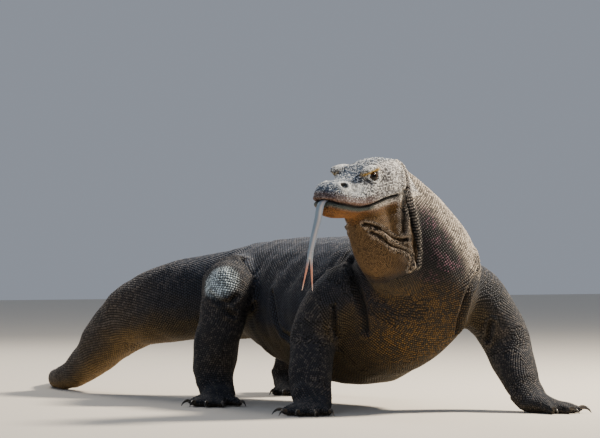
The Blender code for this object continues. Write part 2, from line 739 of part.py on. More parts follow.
def stand_on_origin(pieces):
    """Hang every piece on one empty, so that the origin is the box's bottom centre."""
    corners = np.array([vertex.co for piece in pieces for vertex in piece.data.vertices])
    low, high = corners.min(axis=0), corners.max(axis=0)
    root = bpy.data.objects.new("komodo_dragon", None)
    bpy.context.collection.objects.link(root)
    root.location = (-(low[0] + high[0]) / 2, -(low[1] + high[1]) / 2, -low[2])
    for piece in pieces:
        piece.parent = root


def main():
    for obj in list(bpy.data.objects):
        bpy.data.objects.remove(obj)
    lengths = part_flesh(flesh())
    eyes = [eye_form("eye_left", 1), eye_form("eye_right", -1)]
    tongue = tongue_form("tongue")
    claws = [claw_form(*row) for row in claw_list()]
    finish_pieces(lengths, material("scaly_hide", (0.16, 0.15, 0.15), 0.6))
    finish_pieces(eyes, material("eye", (0.03, 0.02, 0.015), 0.1))
    finish_pieces([tongue], material("tongue", (0.45, 0.42, 0.45), 0.35))
    finish_pieces(claws, material("claw_horn", (0.05, 0.045, 0.04), 0.35))
    stand_on_origin(lengths + eyes + [tongue] + claws)


main()
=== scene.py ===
import itertools
import math
from collections import namedtuple

import bmesh
import bpy
import numpy as np
from mathutils import Matrix, Vector, noise
from mathutils.bvhtree import BVHTree
from mathutils.kdtree import KDTree


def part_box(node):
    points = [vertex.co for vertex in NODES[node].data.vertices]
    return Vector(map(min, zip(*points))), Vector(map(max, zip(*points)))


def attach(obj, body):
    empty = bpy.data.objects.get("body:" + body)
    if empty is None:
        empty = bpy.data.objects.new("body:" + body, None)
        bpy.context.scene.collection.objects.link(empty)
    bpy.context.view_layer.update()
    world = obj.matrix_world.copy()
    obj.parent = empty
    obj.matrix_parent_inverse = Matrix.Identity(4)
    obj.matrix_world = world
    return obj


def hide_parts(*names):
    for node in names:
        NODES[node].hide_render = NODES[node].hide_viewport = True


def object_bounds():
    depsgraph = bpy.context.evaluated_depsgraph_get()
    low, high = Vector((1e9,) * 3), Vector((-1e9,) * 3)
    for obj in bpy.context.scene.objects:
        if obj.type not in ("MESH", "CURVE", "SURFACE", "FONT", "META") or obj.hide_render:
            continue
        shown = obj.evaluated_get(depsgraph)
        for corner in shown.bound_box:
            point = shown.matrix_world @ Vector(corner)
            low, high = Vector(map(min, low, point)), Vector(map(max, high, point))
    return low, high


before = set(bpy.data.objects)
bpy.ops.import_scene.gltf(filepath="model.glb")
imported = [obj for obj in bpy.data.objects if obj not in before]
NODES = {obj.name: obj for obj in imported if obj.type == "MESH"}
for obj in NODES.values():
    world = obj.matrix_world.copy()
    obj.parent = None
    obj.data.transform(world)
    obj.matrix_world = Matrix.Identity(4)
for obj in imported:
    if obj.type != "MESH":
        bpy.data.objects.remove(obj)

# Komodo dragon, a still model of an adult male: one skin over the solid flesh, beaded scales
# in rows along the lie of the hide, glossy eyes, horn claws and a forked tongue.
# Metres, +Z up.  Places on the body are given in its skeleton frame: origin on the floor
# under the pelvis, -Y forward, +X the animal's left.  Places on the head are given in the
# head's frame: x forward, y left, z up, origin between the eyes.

CAD_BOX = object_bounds()

# ---------------- sizes of the skin
COAT = 0.0018            # the skin lies this far inside the solids
SEAL = 0.0016            # swell that closes the gaps between the lengths of flesh
WELD = 1e-5              # corners nearer than this are one
VOXEL = 0.0070           # grid of the skin
HEAD_CUTS = 3            # extra cuts across each face of the head's skin
FOLD_CUTS = 2            # the same along the folds
SKIN_CLEAR = 0.0004      # the skin stays this far above the floor
SCALE_CLEAR = 0.0002     # and the scales this far
MIRRORED_ABOVE = 0.375   # lower than this the neck is turned too far from the head
RIM_HEIGHT = 0.38        # a furrow's raised rims, as a share of its depth
RIM_AWAY, RIM_WIDTH = 1.9, 0.9       # where they stand and how wide, in furrow widths
PALE_AWAY, PALE_WIDTH = 2.0, 0.7     # the same for their pale markings
PAINTED_SHADE_WIDTH = 0.85        # and for the painted shade inside
FLANK_WRINKLES = (0.0030, (0.10, 0.030, 0.085))      # their height, and their size each way
SKIN_WAVES = (0.0022, (0.05, 0.05, 0.05))
BETWEEN_SHADED_SHARE = 0.12      # skin between the scales has this share of their colour, painted shade in the gaps
BETWEEN_LEAST = 0.004    # and at least this much light
CLAW_BALL = 0.0075       # ball of flesh round the root of a claw
MOUTH_BALL = (0.112, 0, -0.0455)     # middle of the ball that fills the mouth, head's frame
MOUTH_BALL_RADIUS = 0.012

# ---------------- sizes of the coat
RAYS = 200               # rays of a ring that finds the hide
GRAZING = 0.12           # a ray that meets the hide flatter than this finds nothing
JUMP = 0.05              # two hits further apart than this are on different limbs
CELL = 0.009             # grid that finds a scale's neighbours
AROUND = tuple(itertools.product((-1, 0, 1), repeat=3))     # a cell and those that touch it
CROWDING = 0.76          # nearer than this share of their pitch, one of two scales is left out
LONG_EDGE = 0.0045       # an edge of the skin's mesh this long gets a spot for a scale on it
SMALLEST_FILL = 0.55     # a scale that fills a bare spot is at least this share of its neighbour
SMALLEST_ON_TAIL = 0.36  # the same on the tail, whose inner bend crowds its rows
SOLE = 0.0025            # bare spots lower than this are left bare
PIECE_SCALES = 10500     # scales of one coat piece
PATCH = 0.003            # a scale's patch on its unwrap
WHOLE = (0.02, 0.02, 0.98, 0.98)     # part of the unwrap that a tube of hide fills
LEG_CHART = (0.02, 0.02, 0.70, 0.98)
PALM_CHART = (0.72, 0.02, 0.80, 0.98)
UPWARD = (0, 0, 1)
LEG_FRONT = (0.3, 1, 0.2)            # where a leg's rows have their middle

# How high a scale stands, and its half length and half width as shares of its pitch.
FORMS = {
    "head": (0.0009, 0.60, 0.54), "throat": (0.0007, 0.60, 0.54), "neck": (0.0019, 0.32, 0.54),
    "trunk": (0.0017, 0.48, 0.54), "tail": (0.0015, 0.50, 0.53), "limb": (0.0014, 0.54, 0.53),
}
STEEPEST = 0.24          # no scale is higher than this share of its pitch

# ---------------- the head
HEAD_YAW = math.radians(70)
HEAD_PITCH = math.radians(8)
HEAD_ROLL = math.radians(2.5)
HEAD_IN_SKELETON = Vector((-0.2214, -0.7410, 0.511))
EYE_RADIUS = 0.0115
EYE_OPENING = (0.0122, 0.0096)       # half length and half height between the lids
OPENING_SHIFT = (0.0012, 0.0012)     # how far its middle is ahead of and above the eyeball's
OPENING_TAPER = 0.2                  # how much lower it is at its corners
LID = 0.0012
LID_ROWS = ((0.0006, 0.0022), (0.0029, 0.0026))  # how far from the opening, size of a scale
EYE_SIDE = 0.02                      # the eyes are further than this from the head's middle
LID_RAY = (0.09, 0.08)               # rays to the lids start this far out and are this long
PUPIL_EDGE, IRIS_EDGE = (33, 37), (58, 64)       # in degrees round the gaze
IRIS_RING = (42, 5)                  # the iris's lightest ring and its width, in degrees
CLAW_PALE = (0.012, 0.030)           # a claw pales between these distances from its tip
NOSTRIL = (0.0870, 0.0330, -0.0076)              # its middle on the skin
NOSTRIL_SIZE = (0.0092, 0.0100, 0.0076)          # its half sizes
TONGUE_WIDER = 1.25      # the soft ribbon is this much wider than its solid
TONGUE_ARCH = 0.0068     # its root rises by this much, out of the gap and over the lower lip
FORK_DROP = 0.148        # the fork is this far under the head's level
TONGUE_BED = 0.0090      # half the width of the dip in the lower lip that it lies in
TONGUE_VOXEL = 0.0009

# The line between the lips: x, z.
MOUTH_LINE = ((0.1280, -0.0370), (0.1235, -0.0365), (0.1170, -0.0400), (0.1050, -0.0445),
              (0.0920, -0.0480), (0.0650, -0.0545), (0.0400, -0.0590), (0.0140, -0.0592),
              (-0.0125, -0.0530), (-0.0380, -0.0472), (-0.0660, -0.0430))
# The middle of the head, from the snout back: x, z, reach of the hide round it.
HEAD_AXIS = ((0.124, -0.038, 0.035), (0.09, -0.034, 0.055), (0.04, -0.033, 0.065),
             (0.0, -0.030, 0.075), (-0.05, -0.030, 0.085), (-0.105, -0.030, 0.090))

# ---------------- the body
def metres(millimetres):
    return np.array(millimetres) / 1000


# The spine, from the tip of the tail to the shoulders: x, y, z, reach of the hide round it.
SPINE = metres((
    (110, 1130, 6, 12), (54, 1059, 11, 18), (-23, 965, 16, 24), (-104, 863, 20, 29),
    (-175, 754, 24, 34), (-208, 658, 28, 40), (-213, 578, 45, 52), (-206, 508, 77, 66),
    (-202, 456, 111, 78), (-189, 398, 155, 90), (-170.5, 335, 193, 102), (-135, 245, 222, 118),
    (-84, 155, 240, 128), (-28, 75, 249, 138), (0, 0, 257, 150), (0, -130, 243, 170),
    (-2, -250, 228, 185), (-4, -420, 217, 200), (-6, -520, 226, 200),
))
TAIL_ROWS, TRUNK_ROWS = slice(14), slice(12, None)
NECK = metres((
    (-6, -520, 226, 200), (-6, -590, 246, 200), (0, -641, 290, 195), (-24, -675, 343, 180),
    (-58, -694, 392, 165), (-99, -704.5, 441, 150), (-124, -708, 477, 135),
    (-142, -710, 500, 115),
))
RAISED_NECK = NECK[2:]
NAPE = Vector((0.55, 0.60, 0.58))    # which way the nape faces, at the skull
NECK_BASE = np.array((0.0, -0.60, 0.25))
NECK_CLIMB = np.array((-0.408, -0.408, 0.816))       # the way the neck rises
LIMBS = {leg: metres(rows) for leg, rows in {
    "right_front": (
        (-75, -575, 262, 100), (-136, -557.5, 250, 95), (-170, -520, 200, 80),
        (-183, -502, 160, 75), (-197, -521, 120, 70), (-216, -549, 80, 68), (-231, -572, 50, 65)),
    "left_front": (
        (60, -640, 262, 100), (122.5, -670.6, 258, 95), (172, -682, 210, 80),
        (206.2, -687.6, 160, 75), (208, -706, 120, 70), (205, -738, 82, 66), (199, -765, 52, 64)),
    "right_hind": (
        (-30, -15, 252, 125), (-95, -45, 260, 115), (-160, -115, 268, 98), (-203, -174, 258, 85),
        (-213, -165, 203, 80), (-221, -150, 130, 74), (-222.5, -137, 66, 70)),
    "left_hind": (
        (30, 0, 250, 125), (100, 0, 243, 110), (160, -5, 226, 92), (205, -8, 200, 80),
        (212, 50, 162, 76), (200, 120, 110, 70), (184, 172, 66, 66)),
}.items()}
PALMS = {"right_front": "hand", "left_front": "hand", "right_hind": "foot", "left_hind": "foot"}
TOES = 5
KNEE = (-0.232, -0.190, 0.279)       # middle of the pale patch on the right knee, partly pale hide and partly painted sunlight
KNEE_EDGE = (0.030, 0.050)           # it fades between these distances
BREAST = (-0.03, -0.72, 0.19)        # middle of the ochre field
BREAST_SIZE = 0.12
# Heights and x of its edge at the left arm.
BREAST_CREASE = ((0.18, 0.207, 0.246, 0.274, 0.306), (0.057, 0.043, 0.042, 0.052, 0.079))

# Folds of loose skin: points in the skeleton frame, width and depth of the furrow, and how
# pale its rims are.  Those with pale rims are on both sides of the head.  In millimetres.
FOLDS = (
    (((-112, -752, 545), (-118, -764, 525), (-120, -775, 492), (-123, -788, 460),
      (-116, -793, 422), (-108, -792, 386), (-101, -786, 354), (-98, -785, 326)),
     5, 11, 0.5),
    (((-130, -779, 481), (-133, -787, 449), (-131, -788, 418), (-130, -783, 395)), 4.5, 7, 0.4),
    (((-220, -766, 409), (-203, -778, 405), (-179, -784, 395), (-159, -785, 382),
      (-134, -782, 376), (-119, -786, 378)), 3.2, 7, 0.4),
    (((-206, -774, 392), (-183, -783, 380), (-162, -786, 364), (-136, -784, 357),
      (-118, -784, 349), (-110, -785, 337), (-114, -788, 315)), 3.2, 7, 0.4),
    (((-158, -292, 255), (-160, -302, 237), (-162, -314, 207), (-160, -329, 178),
      (-158, -355, 160), (-152, -400, 152)), 8.5, 7, 0),
    (((158, -292, 255), (162, -314, 207), (160, -335, 175), (155, -365, 160)), 8.5, 5.5, 0),
    (((-80, -505, 372), (-96, -521, 354), (-121, -527, 328), (-150, -545, 305)), 7.5, 6.5, 0),
    (((92, -745, 335), (79, -760, 306), (52, -775, 274), (42, -770, 246), (43, -748, 207),
      (57, -718, 180)), 9, 10, 0),
    (((-118, -560, 330), (-146, -614, 300), (-143, -635, 252), (-136, -638, 213),
      (-126, -630, 180)), 9, 8, 0),
    (((-190, -600, 232), (-187, -598, 218), (-178, -587, 191), (-157, -562, 164)), 5, 8, 0),
    (((147, -700, 154), (142, -715, 174), (139, -727, 196)), 5.5, 8, 0),
    (((-262, -190, 255), (-250, -210, 238), (-232, -226, 234), (-216, -229, 248)), 6, 5, 0),
    (((-241, -219, 222), (-227, -226, 208), (-216, -224, 204)), 5.5, 4, 0),
    (((-125, -115, 345), (-140, -140, 320), (-150, -165, 290), (-150, -175, 250)), 7, 9, 0),
)

# ---------------- surfaces and stage
NOISE_GAIN = 1.6         # brings the noise to about -1 to 1
NOISE_SHIFT = 17.3       # sets one seed's noise apart from the next
RELIEF_STRENGTH = 0.5
FLOOR_HALF = 12.0
WORLD_LIGHT = 0.42
# Soft lamps: name, place from the middle of the model, diameter, watts, tint.
LAMPS = (("key", (2.4, -1.5, 2.6), 0.7, 430, "#fff1dc"),
         ("fill", (-2.6, -2.6, 1.3), 2.4, 20, "#dce8ff"),
         ("rim", (0.4, 3.0, 2.2), 1.6, 60, "#fff6ea"))
CAMERA_IN_SKELETON = Vector((-3.386, -5.577, 0.352))
CAMERA_WAY = Vector((0.530, 0.848, 0.0117))
CAMERA_LENS_MM = 163.8
SENSOR_MM = 36.0
FAR_CLIP = 60


# ---------------- small helpers
def colour(text):
    """An sRGB hex colour, turned linear."""
    parts = [int(text[i:i + 2], 16) / 255 for i in (1, 3, 5)]
    return np.array([c / 12.92 if c <= 0.04045 else ((c + 0.055) / 1.055) ** 2.4 for c in parts])


# The near-black ink is the hide's own dark on the limbs and crown, and painted shade in the hollow
# and crease by the eye and on the neck's front.
INK = {name: colour(value) for name, value in {
    "charcoal": "#1e232e", "olive": "#4c3d1e", "slate": "#3c4759", "black_and_shade": "#131318",
    "beige": "#ab9c8b", "cream": "#dccfbd", "ochre": "#6c4d18", "rust": "#55452f",
    "tan": "#8a6a34", "umber": "#22160e", "throat": "#5c3f0c", "orange": "#7e4f14",
    "steel": "#4d5e74", "chalk": "#dcdfde", "gold": "#b08a20", "lip": "#5c4640",
    "lip_edge": "#7a5238", "teal": "#4a5552", "plum": "#684352", "lichen": "#b4c2c8",
    # The ink for insides is painted shade, for the nostrils and the gap between the lips.
    "inside": "#120c08", "eye_rim": "#150d08", "iris_edge": "#2a180a", "iris": "#6a4820",
    "pupil": "#020202", "claw": "#2a2622", "claw_root": "#6a5e4e", "tongue": "#7d8e9a",
    "tongue_highlight": "#dccabc", "fork": "#d98e6c", "fork_tip": "#ecd2c0",
    "floor": "#d5cfc4", "daylight": "#d3dcec",
}.items()}


def add_node(tree, kind, settings=None, **inputs):
    """A node with its settings, and its inputs set to values or linked to sockets."""
    made = tree.nodes.new(kind)
    for key, value in (settings or {}).items():
        setattr(made, key, value)
    for key, value in inputs.items():
        socket = made.inputs[key.replace("_", " ")]
        if isinstance(value, bpy.types.NodeSocket):
            tree.links.new(value, socket)
        else:
            socket.default_value = value
    return made


def smooth_path(points, steps):
    """Catmull-Rom curve through rows of numbers."""
    rows = np.array(points, dtype=float)
    padded = np.vstack([2 * rows[0] - rows[1], rows, 2 * rows[-1] - rows[-2]])
    out = []
    for i in range(1, len(padded) - 2):
        a, b, c, d = padded[i - 1:i + 3]
        for k in range(steps):
            t = k / steps
            out.append(0.5 * (2 * b + (c - a) * t + (2 * a - 5 * b + 4 * c - d) * t ** 2
                              + (3 * b - a - 3 * c + d) * t ** 3))
    out.append(rows[-1])
    return np.array(out)


def unit(rows):
    return rows / np.maximum(np.linalg.norm(rows, axis=-1, keepdims=True), 1e-12)


def bump(value, width):
    """1 at zero, falling smoothly to nothing within about two widths."""
    return np.exp(-(value / width) ** 2)


def ramp(value, low, high):
    """0 below low, 1 above high, smooth between."""
    t = np.clip((value - low) / (high - low), 0, 1)
    return t * t * (3 - 2 * t)


def window(value, rise, fall):
    """Up from 0 to 1 over rise, and down again over fall."""
    return ramp(value, *rise) * (1 - ramp(value, *fall))


def noise_at(points, size, seed):
    """Smooth noise, about -1 to 1, with features of this size in metres (one or three)."""
    scaled = points / np.array(size) + seed * NOISE_SHIFT
    return np.array([noise.noise(Vector(row)) for row in scaled]) * NOISE_GAIN


def mix(base, other, share):
    return base + (other - base) * share[:, None]


def plain(ink, count):
    """One colour for each of so many places."""
    return np.tile(INK[ink], (count, 1))


def tint(base, *layers):
    """Inks mixed in one after another: pairs of an ink and its share at each place."""
    for ink, share in layers:
        base = mix(base, INK[ink], share)
    return base


def box_middle(name):
    low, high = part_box(name)
    return (low + high) / 2


def add_object(name, data):
    made = bpy.data.objects.new(name, data)
    bpy.context.collection.objects.link(made)
    return made


def add_piece(name, mesh, material, slot, *replaced):
    """A visible piece on the body, with its material and the solids it stands for; the slot is not
    used.
    """
    piece = add_object(name, mesh)
    mesh.materials.clear()
    mesh.materials.append(material)
    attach(piece, "root")
    if replaced:
        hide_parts(*replaced)
    return piece


def drawn(bm, name):
    """A mesh from an edit mesh, which is let go."""
    mesh = bpy.data.meshes.new(name)
    bm.to_mesh(mesh)
    bm.free()
    return mesh


def add_ball(bm, middle, radius, detail):
    bmesh.ops.create_icosphere(bm, subdivisions=detail, radius=radius,
                               matrix=Matrix.Translation(middle))


def shaped(mesh, kind, **settings):
    """The mesh that one modifier makes from this one."""
    source = add_object(mesh.name, mesh)
    modifier = source.modifiers.new("shape", kind)
    for key, value in settings.items():
        setattr(modifier, key, value)
    graph = bpy.context.evaluated_depsgraph_get()
    graph.update()
    made = bpy.data.meshes.new_from_object(source.evaluated_get(graph))
    bpy.data.objects.remove(source)
    return made


def read_rows(items, what, kind=float, width=3):
    """One property of a mesh's points, edges or faces, as rows."""
    out = np.empty(len(items) * width, dtype=kind)
    items.foreach_get(what, out)
    return out.reshape(-1, width)


def coordinates(mesh):
    return read_rows(mesh.vertices, "co")


def edge_ends(mesh):
    return read_rows(mesh.edges, "vertices", np.int64, 2)


def normals_of(mesh):
    mesh.update()
    return read_rows(mesh.vertices, "normal")


def set_coordinates(mesh, places):
    mesh.vertices.foreach_set("co", places.ravel())
    mesh.update()


def shade_smooth(mesh):
    mesh.polygons.foreach_set("use_smooth", np.ones(len(mesh.polygons), dtype=bool))


def paint(mesh, colours):
    """Store the markings, one linear colour for each vertex."""
    layer = mesh.color_attributes.new("markings", "FLOAT_COLOR", "POINT")
    filled = np.ones((len(mesh.vertices), 4))
    filled[:, :3] = np.clip(colours, 0, 1)
    layer.data.foreach_set("color", filled.ravel())


def surface_tree(mesh, places):
    return BVHTree.FromPolygons([Vector(p) for p in places],
                                [tuple(face.vertices) for face in mesh.polygons])


def place_finder(places):
    """Finds the nearest of these places."""
    finder = KDTree(len(places))
    for index, place in enumerate(places):
        finder.insert(place, index)
    finder.balance()
    return finder


# ---------------- where things are
EYE_LEFT = box_middle("eye_left")
EYE_RIGHT = box_middle("eye_right")
HEAD_AT = (EYE_LEFT + EYE_RIGHT) / 2
SHIFT = np.array(HEAD_AT - HEAD_IN_SKELETON)     # from the skeleton's frame to the model's
NECK_AXIS = smooth_path(RAISED_NECK, 12)
LIPS = smooth_path(MOUTH_LINE, 6)[::-1]


def head_frame():
    """Placement of the head: x forward, y left, z up, origin between the eyes."""
    ahead = Vector((-math.sin(HEAD_YAW), -math.cos(HEAD_YAW), 0.0))
    left = Vector((0, 0, 1)).cross(ahead)
    level = Matrix((ahead, left, Vector((0, 0, 1)))).transposed().to_4x4()
    tilt = Matrix.Rotation(HEAD_PITCH, 4, "Y") @ Matrix.Rotation(-HEAD_ROLL, 4, "X")
    return Matrix.Translation(HEAD_AT) @ level @ tilt


HEAD = head_frame()
HEAD_TURN = np.array(HEAD.to_3x3())


def in_head(points):
    return (points - np.array(HEAD.translation)) @ HEAD_TURN


def one_side(local):
    """Places in the head's frame as x, distance from its middle and z."""
    return local[:, 0], np.abs(local[:, 1]), local[:, 2]


def from_head(points):
    return np.asarray(points) @ HEAD_TURN.T + np.array(HEAD.translation)


def way_from_head(way):
    return from_head([way])[0] - np.array(HEAD.translation)


def claw_ends(name):
    """Root and tip of a claw, and the middle of the foot it belongs to."""
    leg = name[5:-2]
    foot = np.array(box_middle(f"{PALMS[leg]}_{leg}"))
    places = coordinates(NODES[name].data)
    order = np.argsort(np.linalg.norm(places - foot, axis=1))
    near = places[order[:max(4, len(order) // 5)]]
    return near.mean(axis=0), places[order[-1]], foot


CLAWS = [f"claw_{leg}_{k}" for leg in LIMBS for k in range(1, TOES + 1)]
FLESH = [name for name in NODES if not name.startswith(("eye", "tongue", "claw"))]


def off_eye(x, z, clear):
    """Distance from the middle of the opening between the lids: 1 at this far outside its edge."""
    along = (x - OPENING_SHIFT[0]) / (EYE_OPENING[0] + clear)
    taper = 1 - OPENING_TAPER * np.clip(along, -1, 1) ** 2
    return np.hypot(along, (z - OPENING_SHIFT[1]) / ((EYE_OPENING[1] + clear) * taper))


def off_nostril(x, y, z):
    """Distance from the middle of the nostril, 1 at its edge."""
    parts = [(value - middle) / half
             for value, middle, half in zip((x, y, z), NOSTRIL, NOSTRIL_SIZE)]
    return np.sqrt(sum(part ** 2 for part in parts))


def polyline_distance(points, line):
    best = np.full(len(points), 1e9)
    for a, b in zip(line, line[1:]):
        way = b - a
        t = np.clip(((points - a) @ way) / (way @ way), 0, 1)
        best = np.minimum(best, np.linalg.norm(points - (a + t[:, None] * way), axis=1))
    return best


def round_throat(places):
    """Degrees round the neck from the throat's middle, and from the edge of its loose skin."""
    body = places - SHIFT
    height = body[:, 2]
    across = [np.interp(height, NECK_AXIS[:, 2], NECK_AXIS[:, k]) for k in (0, 1)]
    turn = np.degrees(np.arctan2(body[:, 1] - across[1], body[:, 0] - across[0]))
    middle = np.interp(height, (0.30, 0.50), (-150, -163))
    width = np.interp(height, (0.285, 0.31, 0.42), (4, 24, 42))
    off = np.abs((turn - middle + 180) % 360 - 180)
    return off, off - width + 60 * (height < 0.285)


def on_throat(places):
    return round_throat(places)[1] < 0


def neck_side(body):
    """How far places are to the left of the neck, seen along its bend."""
    return (body[:, 0] + 0.06) * 0.85 - (body[:, 1] + 0.69) * 0.53


# ---------------- the skin
def fused_flesh():
    """Merged copies of all the flesh, swollen to close its cuts, in one even mesh."""
    whole = bmesh.new()
    for name in FLESH:
        part = bmesh.new()
        part.from_mesh(NODES[name].data)
        bmesh.ops.remove_doubles(part, verts=part.verts, dist=WELD)
        bmesh.ops.recalc_face_normals(part, faces=part.faces)
        part.normal_update()
        for vert in part.verts:
            vert.co += vert.normal * SEAL
        mesh = drawn(part, "part")
        whole.from_mesh(mesh)
        bpy.data.meshes.remove(mesh)
    for eye in (EYE_LEFT, EYE_RIGHT):
        add_ball(whole, eye, EYE_RADIUS + SEAL, 3)
    for name in CLAWS:
        root, tip, _ = claw_ends(name)
        add_ball(whole, root + 0.1 * (tip - root), CLAW_BALL, 2)
    add_ball(whole, HEAD @ Vector(MOUTH_BALL), MOUTH_BALL_RADIUS, 2)
    return shaped(drawn(whole, "skin"), "REMESH", mode="VOXEL", voxel_size=VOXEL)


def refine(mesh):
    """Smaller faces on the head and along the folds."""
    places = coordinates(mesh)
    x, y, z = one_side(in_head(places))
    head = (x > -0.105) & (y < 0.075) & (z > -0.11) & (z < 0.06)
    folded = np.zeros(len(places), dtype=bool)
    for line, width, _, _ in fold_lines(surface_tree(mesh, places)):
        near = within(places, line, 0.03)
        folded[near] |= polyline_distance(places[near], line) < 3.5 * width + 0.004
    bm = bmesh.new()
    bm.from_mesh(mesh)
    bm.verts.ensure_lookup_table()
    for fine, cuts in ((head, HEAD_CUTS), (folded & ~head, FOLD_CUTS)):
        edges = [edge for edge in bm.edges
                 if all(vert.index < len(fine) and fine[vert.index] for vert in edge.verts)]
        bmesh.ops.subdivide_edges(bm, edges=edges, cuts=cuts, use_grid_fill=True)
        bm.verts.index_update()
    bm.to_mesh(mesh)
    bm.free()


def within(places, line, margin):
    """Which places are in a line's box, wider by a margin on all sides."""
    return np.flatnonzero(np.all((places > line.min(axis=0) - margin)
                                 & (places < line.max(axis=0) + margin), axis=1))


def relax(mesh, places, rounds):
    """Even out the surface without shrinking it."""
    ends = edge_ends(mesh)
    count = np.bincount(ends.ravel(), minlength=len(places)).astype(float)[:, None]
    count = np.maximum(count, 1)
    for step in range(rounds * 2):
        total = np.zeros_like(places)
        for axis in range(3):
            total[:, axis] = (np.bincount(ends[:, 0], places[ends[:, 1], axis], len(places))
                              + np.bincount(ends[:, 1], places[ends[:, 0], axis], len(places)))
        places = places + (total / count - places) * (0.5 if step % 2 == 0 else -0.51)
    return places


def mirror_in_head(points):
    return from_head(in_head(points) * (1, -1, 1))


def fold_lines(tree):
    """Every fold's line, laid on the surface, with its width, depth and pale rim."""
    lines = []
    for points, width, depth, rim in FOLDS:
        points = metres(points) + SHIFT
        upper = points[points[:, 2] > MIRRORED_ABOVE]
        for line in (points, mirror_in_head(upper)) if rim else (points,):
            lines.append((smooth_path([tree.find_nearest(Vector(p))[0] for p in line], 5),
                          width / 1000, depth / 1000, rim))
    return lines


def fold_skin(tree, places, normals):
    """Furrows with a raised rim on both sides, and the small wrinkles of the flanks.

    Also tells how far inside a furrow, for its painted shade, and how near a pale rim, each place
    is.
    """
    body = places - SHIFT
    out, dark, pale = np.zeros((3, len(places)))
    for line, width, depth, rim in fold_lines(tree):
        near = within(places, line, 5 * width)
        gap = polyline_distance(places[near], line)
        rims = RIM_HEIGHT * bump(gap - RIM_AWAY * width, RIM_WIDTH * width)
        out[near] += depth * (rims - bump(gap, width))
        # Painted shade inside the furrow, deepest along its line.
        dark[near] = np.maximum(dark[near], bump(gap, PAINTED_SHADE_WIDTH * width))
        pale[near] = np.maximum(pale[near],
                                rim * bump(gap - PALE_AWAY * width, PALE_WIDTH * width))
    flank = window(body[:, 1], (-0.60, -0.50), (-0.16, -0.04))
    flank *= ramp(np.abs(normals[:, 0]), 0.35, 0.75)
    out += FLANK_WRINKLES[0] * noise_at(body, FLANK_WRINKLES[1], 1) * flank
    out += SKIN_WAVES[0] * noise_at(body, SKIN_WAVES[1], 2) * ramp(body[:, 1], -0.60, -0.5)
    return places + normals * out[:, None], dark, pale


def brow_relief(x, z):
    """The brow's ridge, the hollows under and ahead of it, and the fold below the eye."""
    ridge = 0.0165 + 0.10 * (x + 0.004) * (x < -0.004) - 0.16 * np.maximum(x - 0.006, 0)
    out = 0.0024 * bump(z - ridge, 0.0048) * window(x, (-0.026, -0.012), (0.022, 0.040))
    out -= 0.0030 * bump(z - ridge + 0.0085, 0.0040) * window(x, (-0.014, 0.0), (0.018, 0.030))
    out -= 0.0034 * bump(np.hypot(x - 0.0195, (z + 0.004) * 1.3), 0.0075)
    bag = np.hypot((x - 0.001) / 0.0148, (z + 0.0005) / 0.0112)
    fold = 0.0022 * bump(bag - 1.0, 0.16) - 0.0014 * bump(bag - 1.42, 0.14)
    return out + fold * ramp(-z, 0.001, 0.006)


def cheek_relief(x, z):
    """The groove of the temple and the swell of the jaw's muscle."""
    return (0.0030 * bump(np.hypot((x + 0.070) / 1.3, (z + 0.022) / 1.6), 0.020)
            - 0.0020 * bump(np.hypot(x + 0.030, (z - 0.006) * 0.8), 0.010))


def nostril_relief(x, y, z):
    """A raised rim round a deep opening."""
    hole = off_nostril(x, y, z)
    return 0.0016 * bump(hole - 1.50, 0.40) - 0.0095 * (1 - ramp(hole, 0.60, 1.10))


def lip_relief(x, y, z):
    """The gap between the lips, their swollen edges, and the dip that the tongue lies in."""
    over = z - np.interp(x, LIPS[:, 0], LIPS[:, 1])
    reach = ramp(x, -0.068, -0.050)
    depth = 0.0080 * (0.55 + 0.45 * bump(x + 0.030, 0.030) + 0.35 * ramp(x, 0.09, 0.12))
    out = 0.0022 * bump(over - 0.0062, 0.0042) + 0.0016 * bump(over + 0.0066, 0.0046)
    out -= depth * bump(over, 0.0026) + 0.0012 * bump(over + 0.0150, 0.0036) * ramp(x, -0.03, 0.01)
    bed = (1 - ramp(y, TONGUE_BED * 0.75, TONGUE_BED * 1.5)) * ramp(x, 0.095, 0.105)
    return out * reach - 0.0065 * bed * window(over, (-0.045, -0.030), (-0.001, 0.002))


def sculpt_head(places, normals):
    """Brow, cheek, nostrils and lips as moves along the surface, then the lids."""
    x, y, z = one_side(in_head(places))
    near = (x > -0.13) & (x < 0.15) & (y < 0.09) & (z > -0.13) & (z < 0.07)
    flank = ramp(y, 0.012, 0.026)
    out = (brow_relief(x, z) + cheek_relief(x, z)) * flank
    out += nostril_relief(x, y, z) + lip_relief(x, y, z)
    return open_lids(places + normals * (out * near)[:, None], near)


def open_lids(places, near):
    """The lids stand over the eyeball, and the skin passes behind it in the opening."""
    local = in_head(places)
    x, y, z = one_side(local)
    side = np.where(local[:, 1] < 0, -1, 1)
    beside = near & (y > EYE_SIDE)
    eye = in_head(np.array([EYE_LEFT]))[0]
    round_eye = np.hypot(x, z)
    lid = eye[1] + np.sqrt(np.maximum((EYE_RADIUS + LID) ** 2 - round_eye ** 2, 0))
    raised = np.where(beside & (round_eye < EYE_RADIUS + LID), np.maximum(y, lid), y)
    share = (1 - ramp(off_eye(x, z, 0), 0.86, 1.02)) * beside
    local[:, 1] = (raised * (1 - share) + (eye[1] - 0.001) * share) * side
    changed = beside & (round_eye < 0.020)
    places = places.copy()
    places[changed] = from_head(local[changed])
    return places


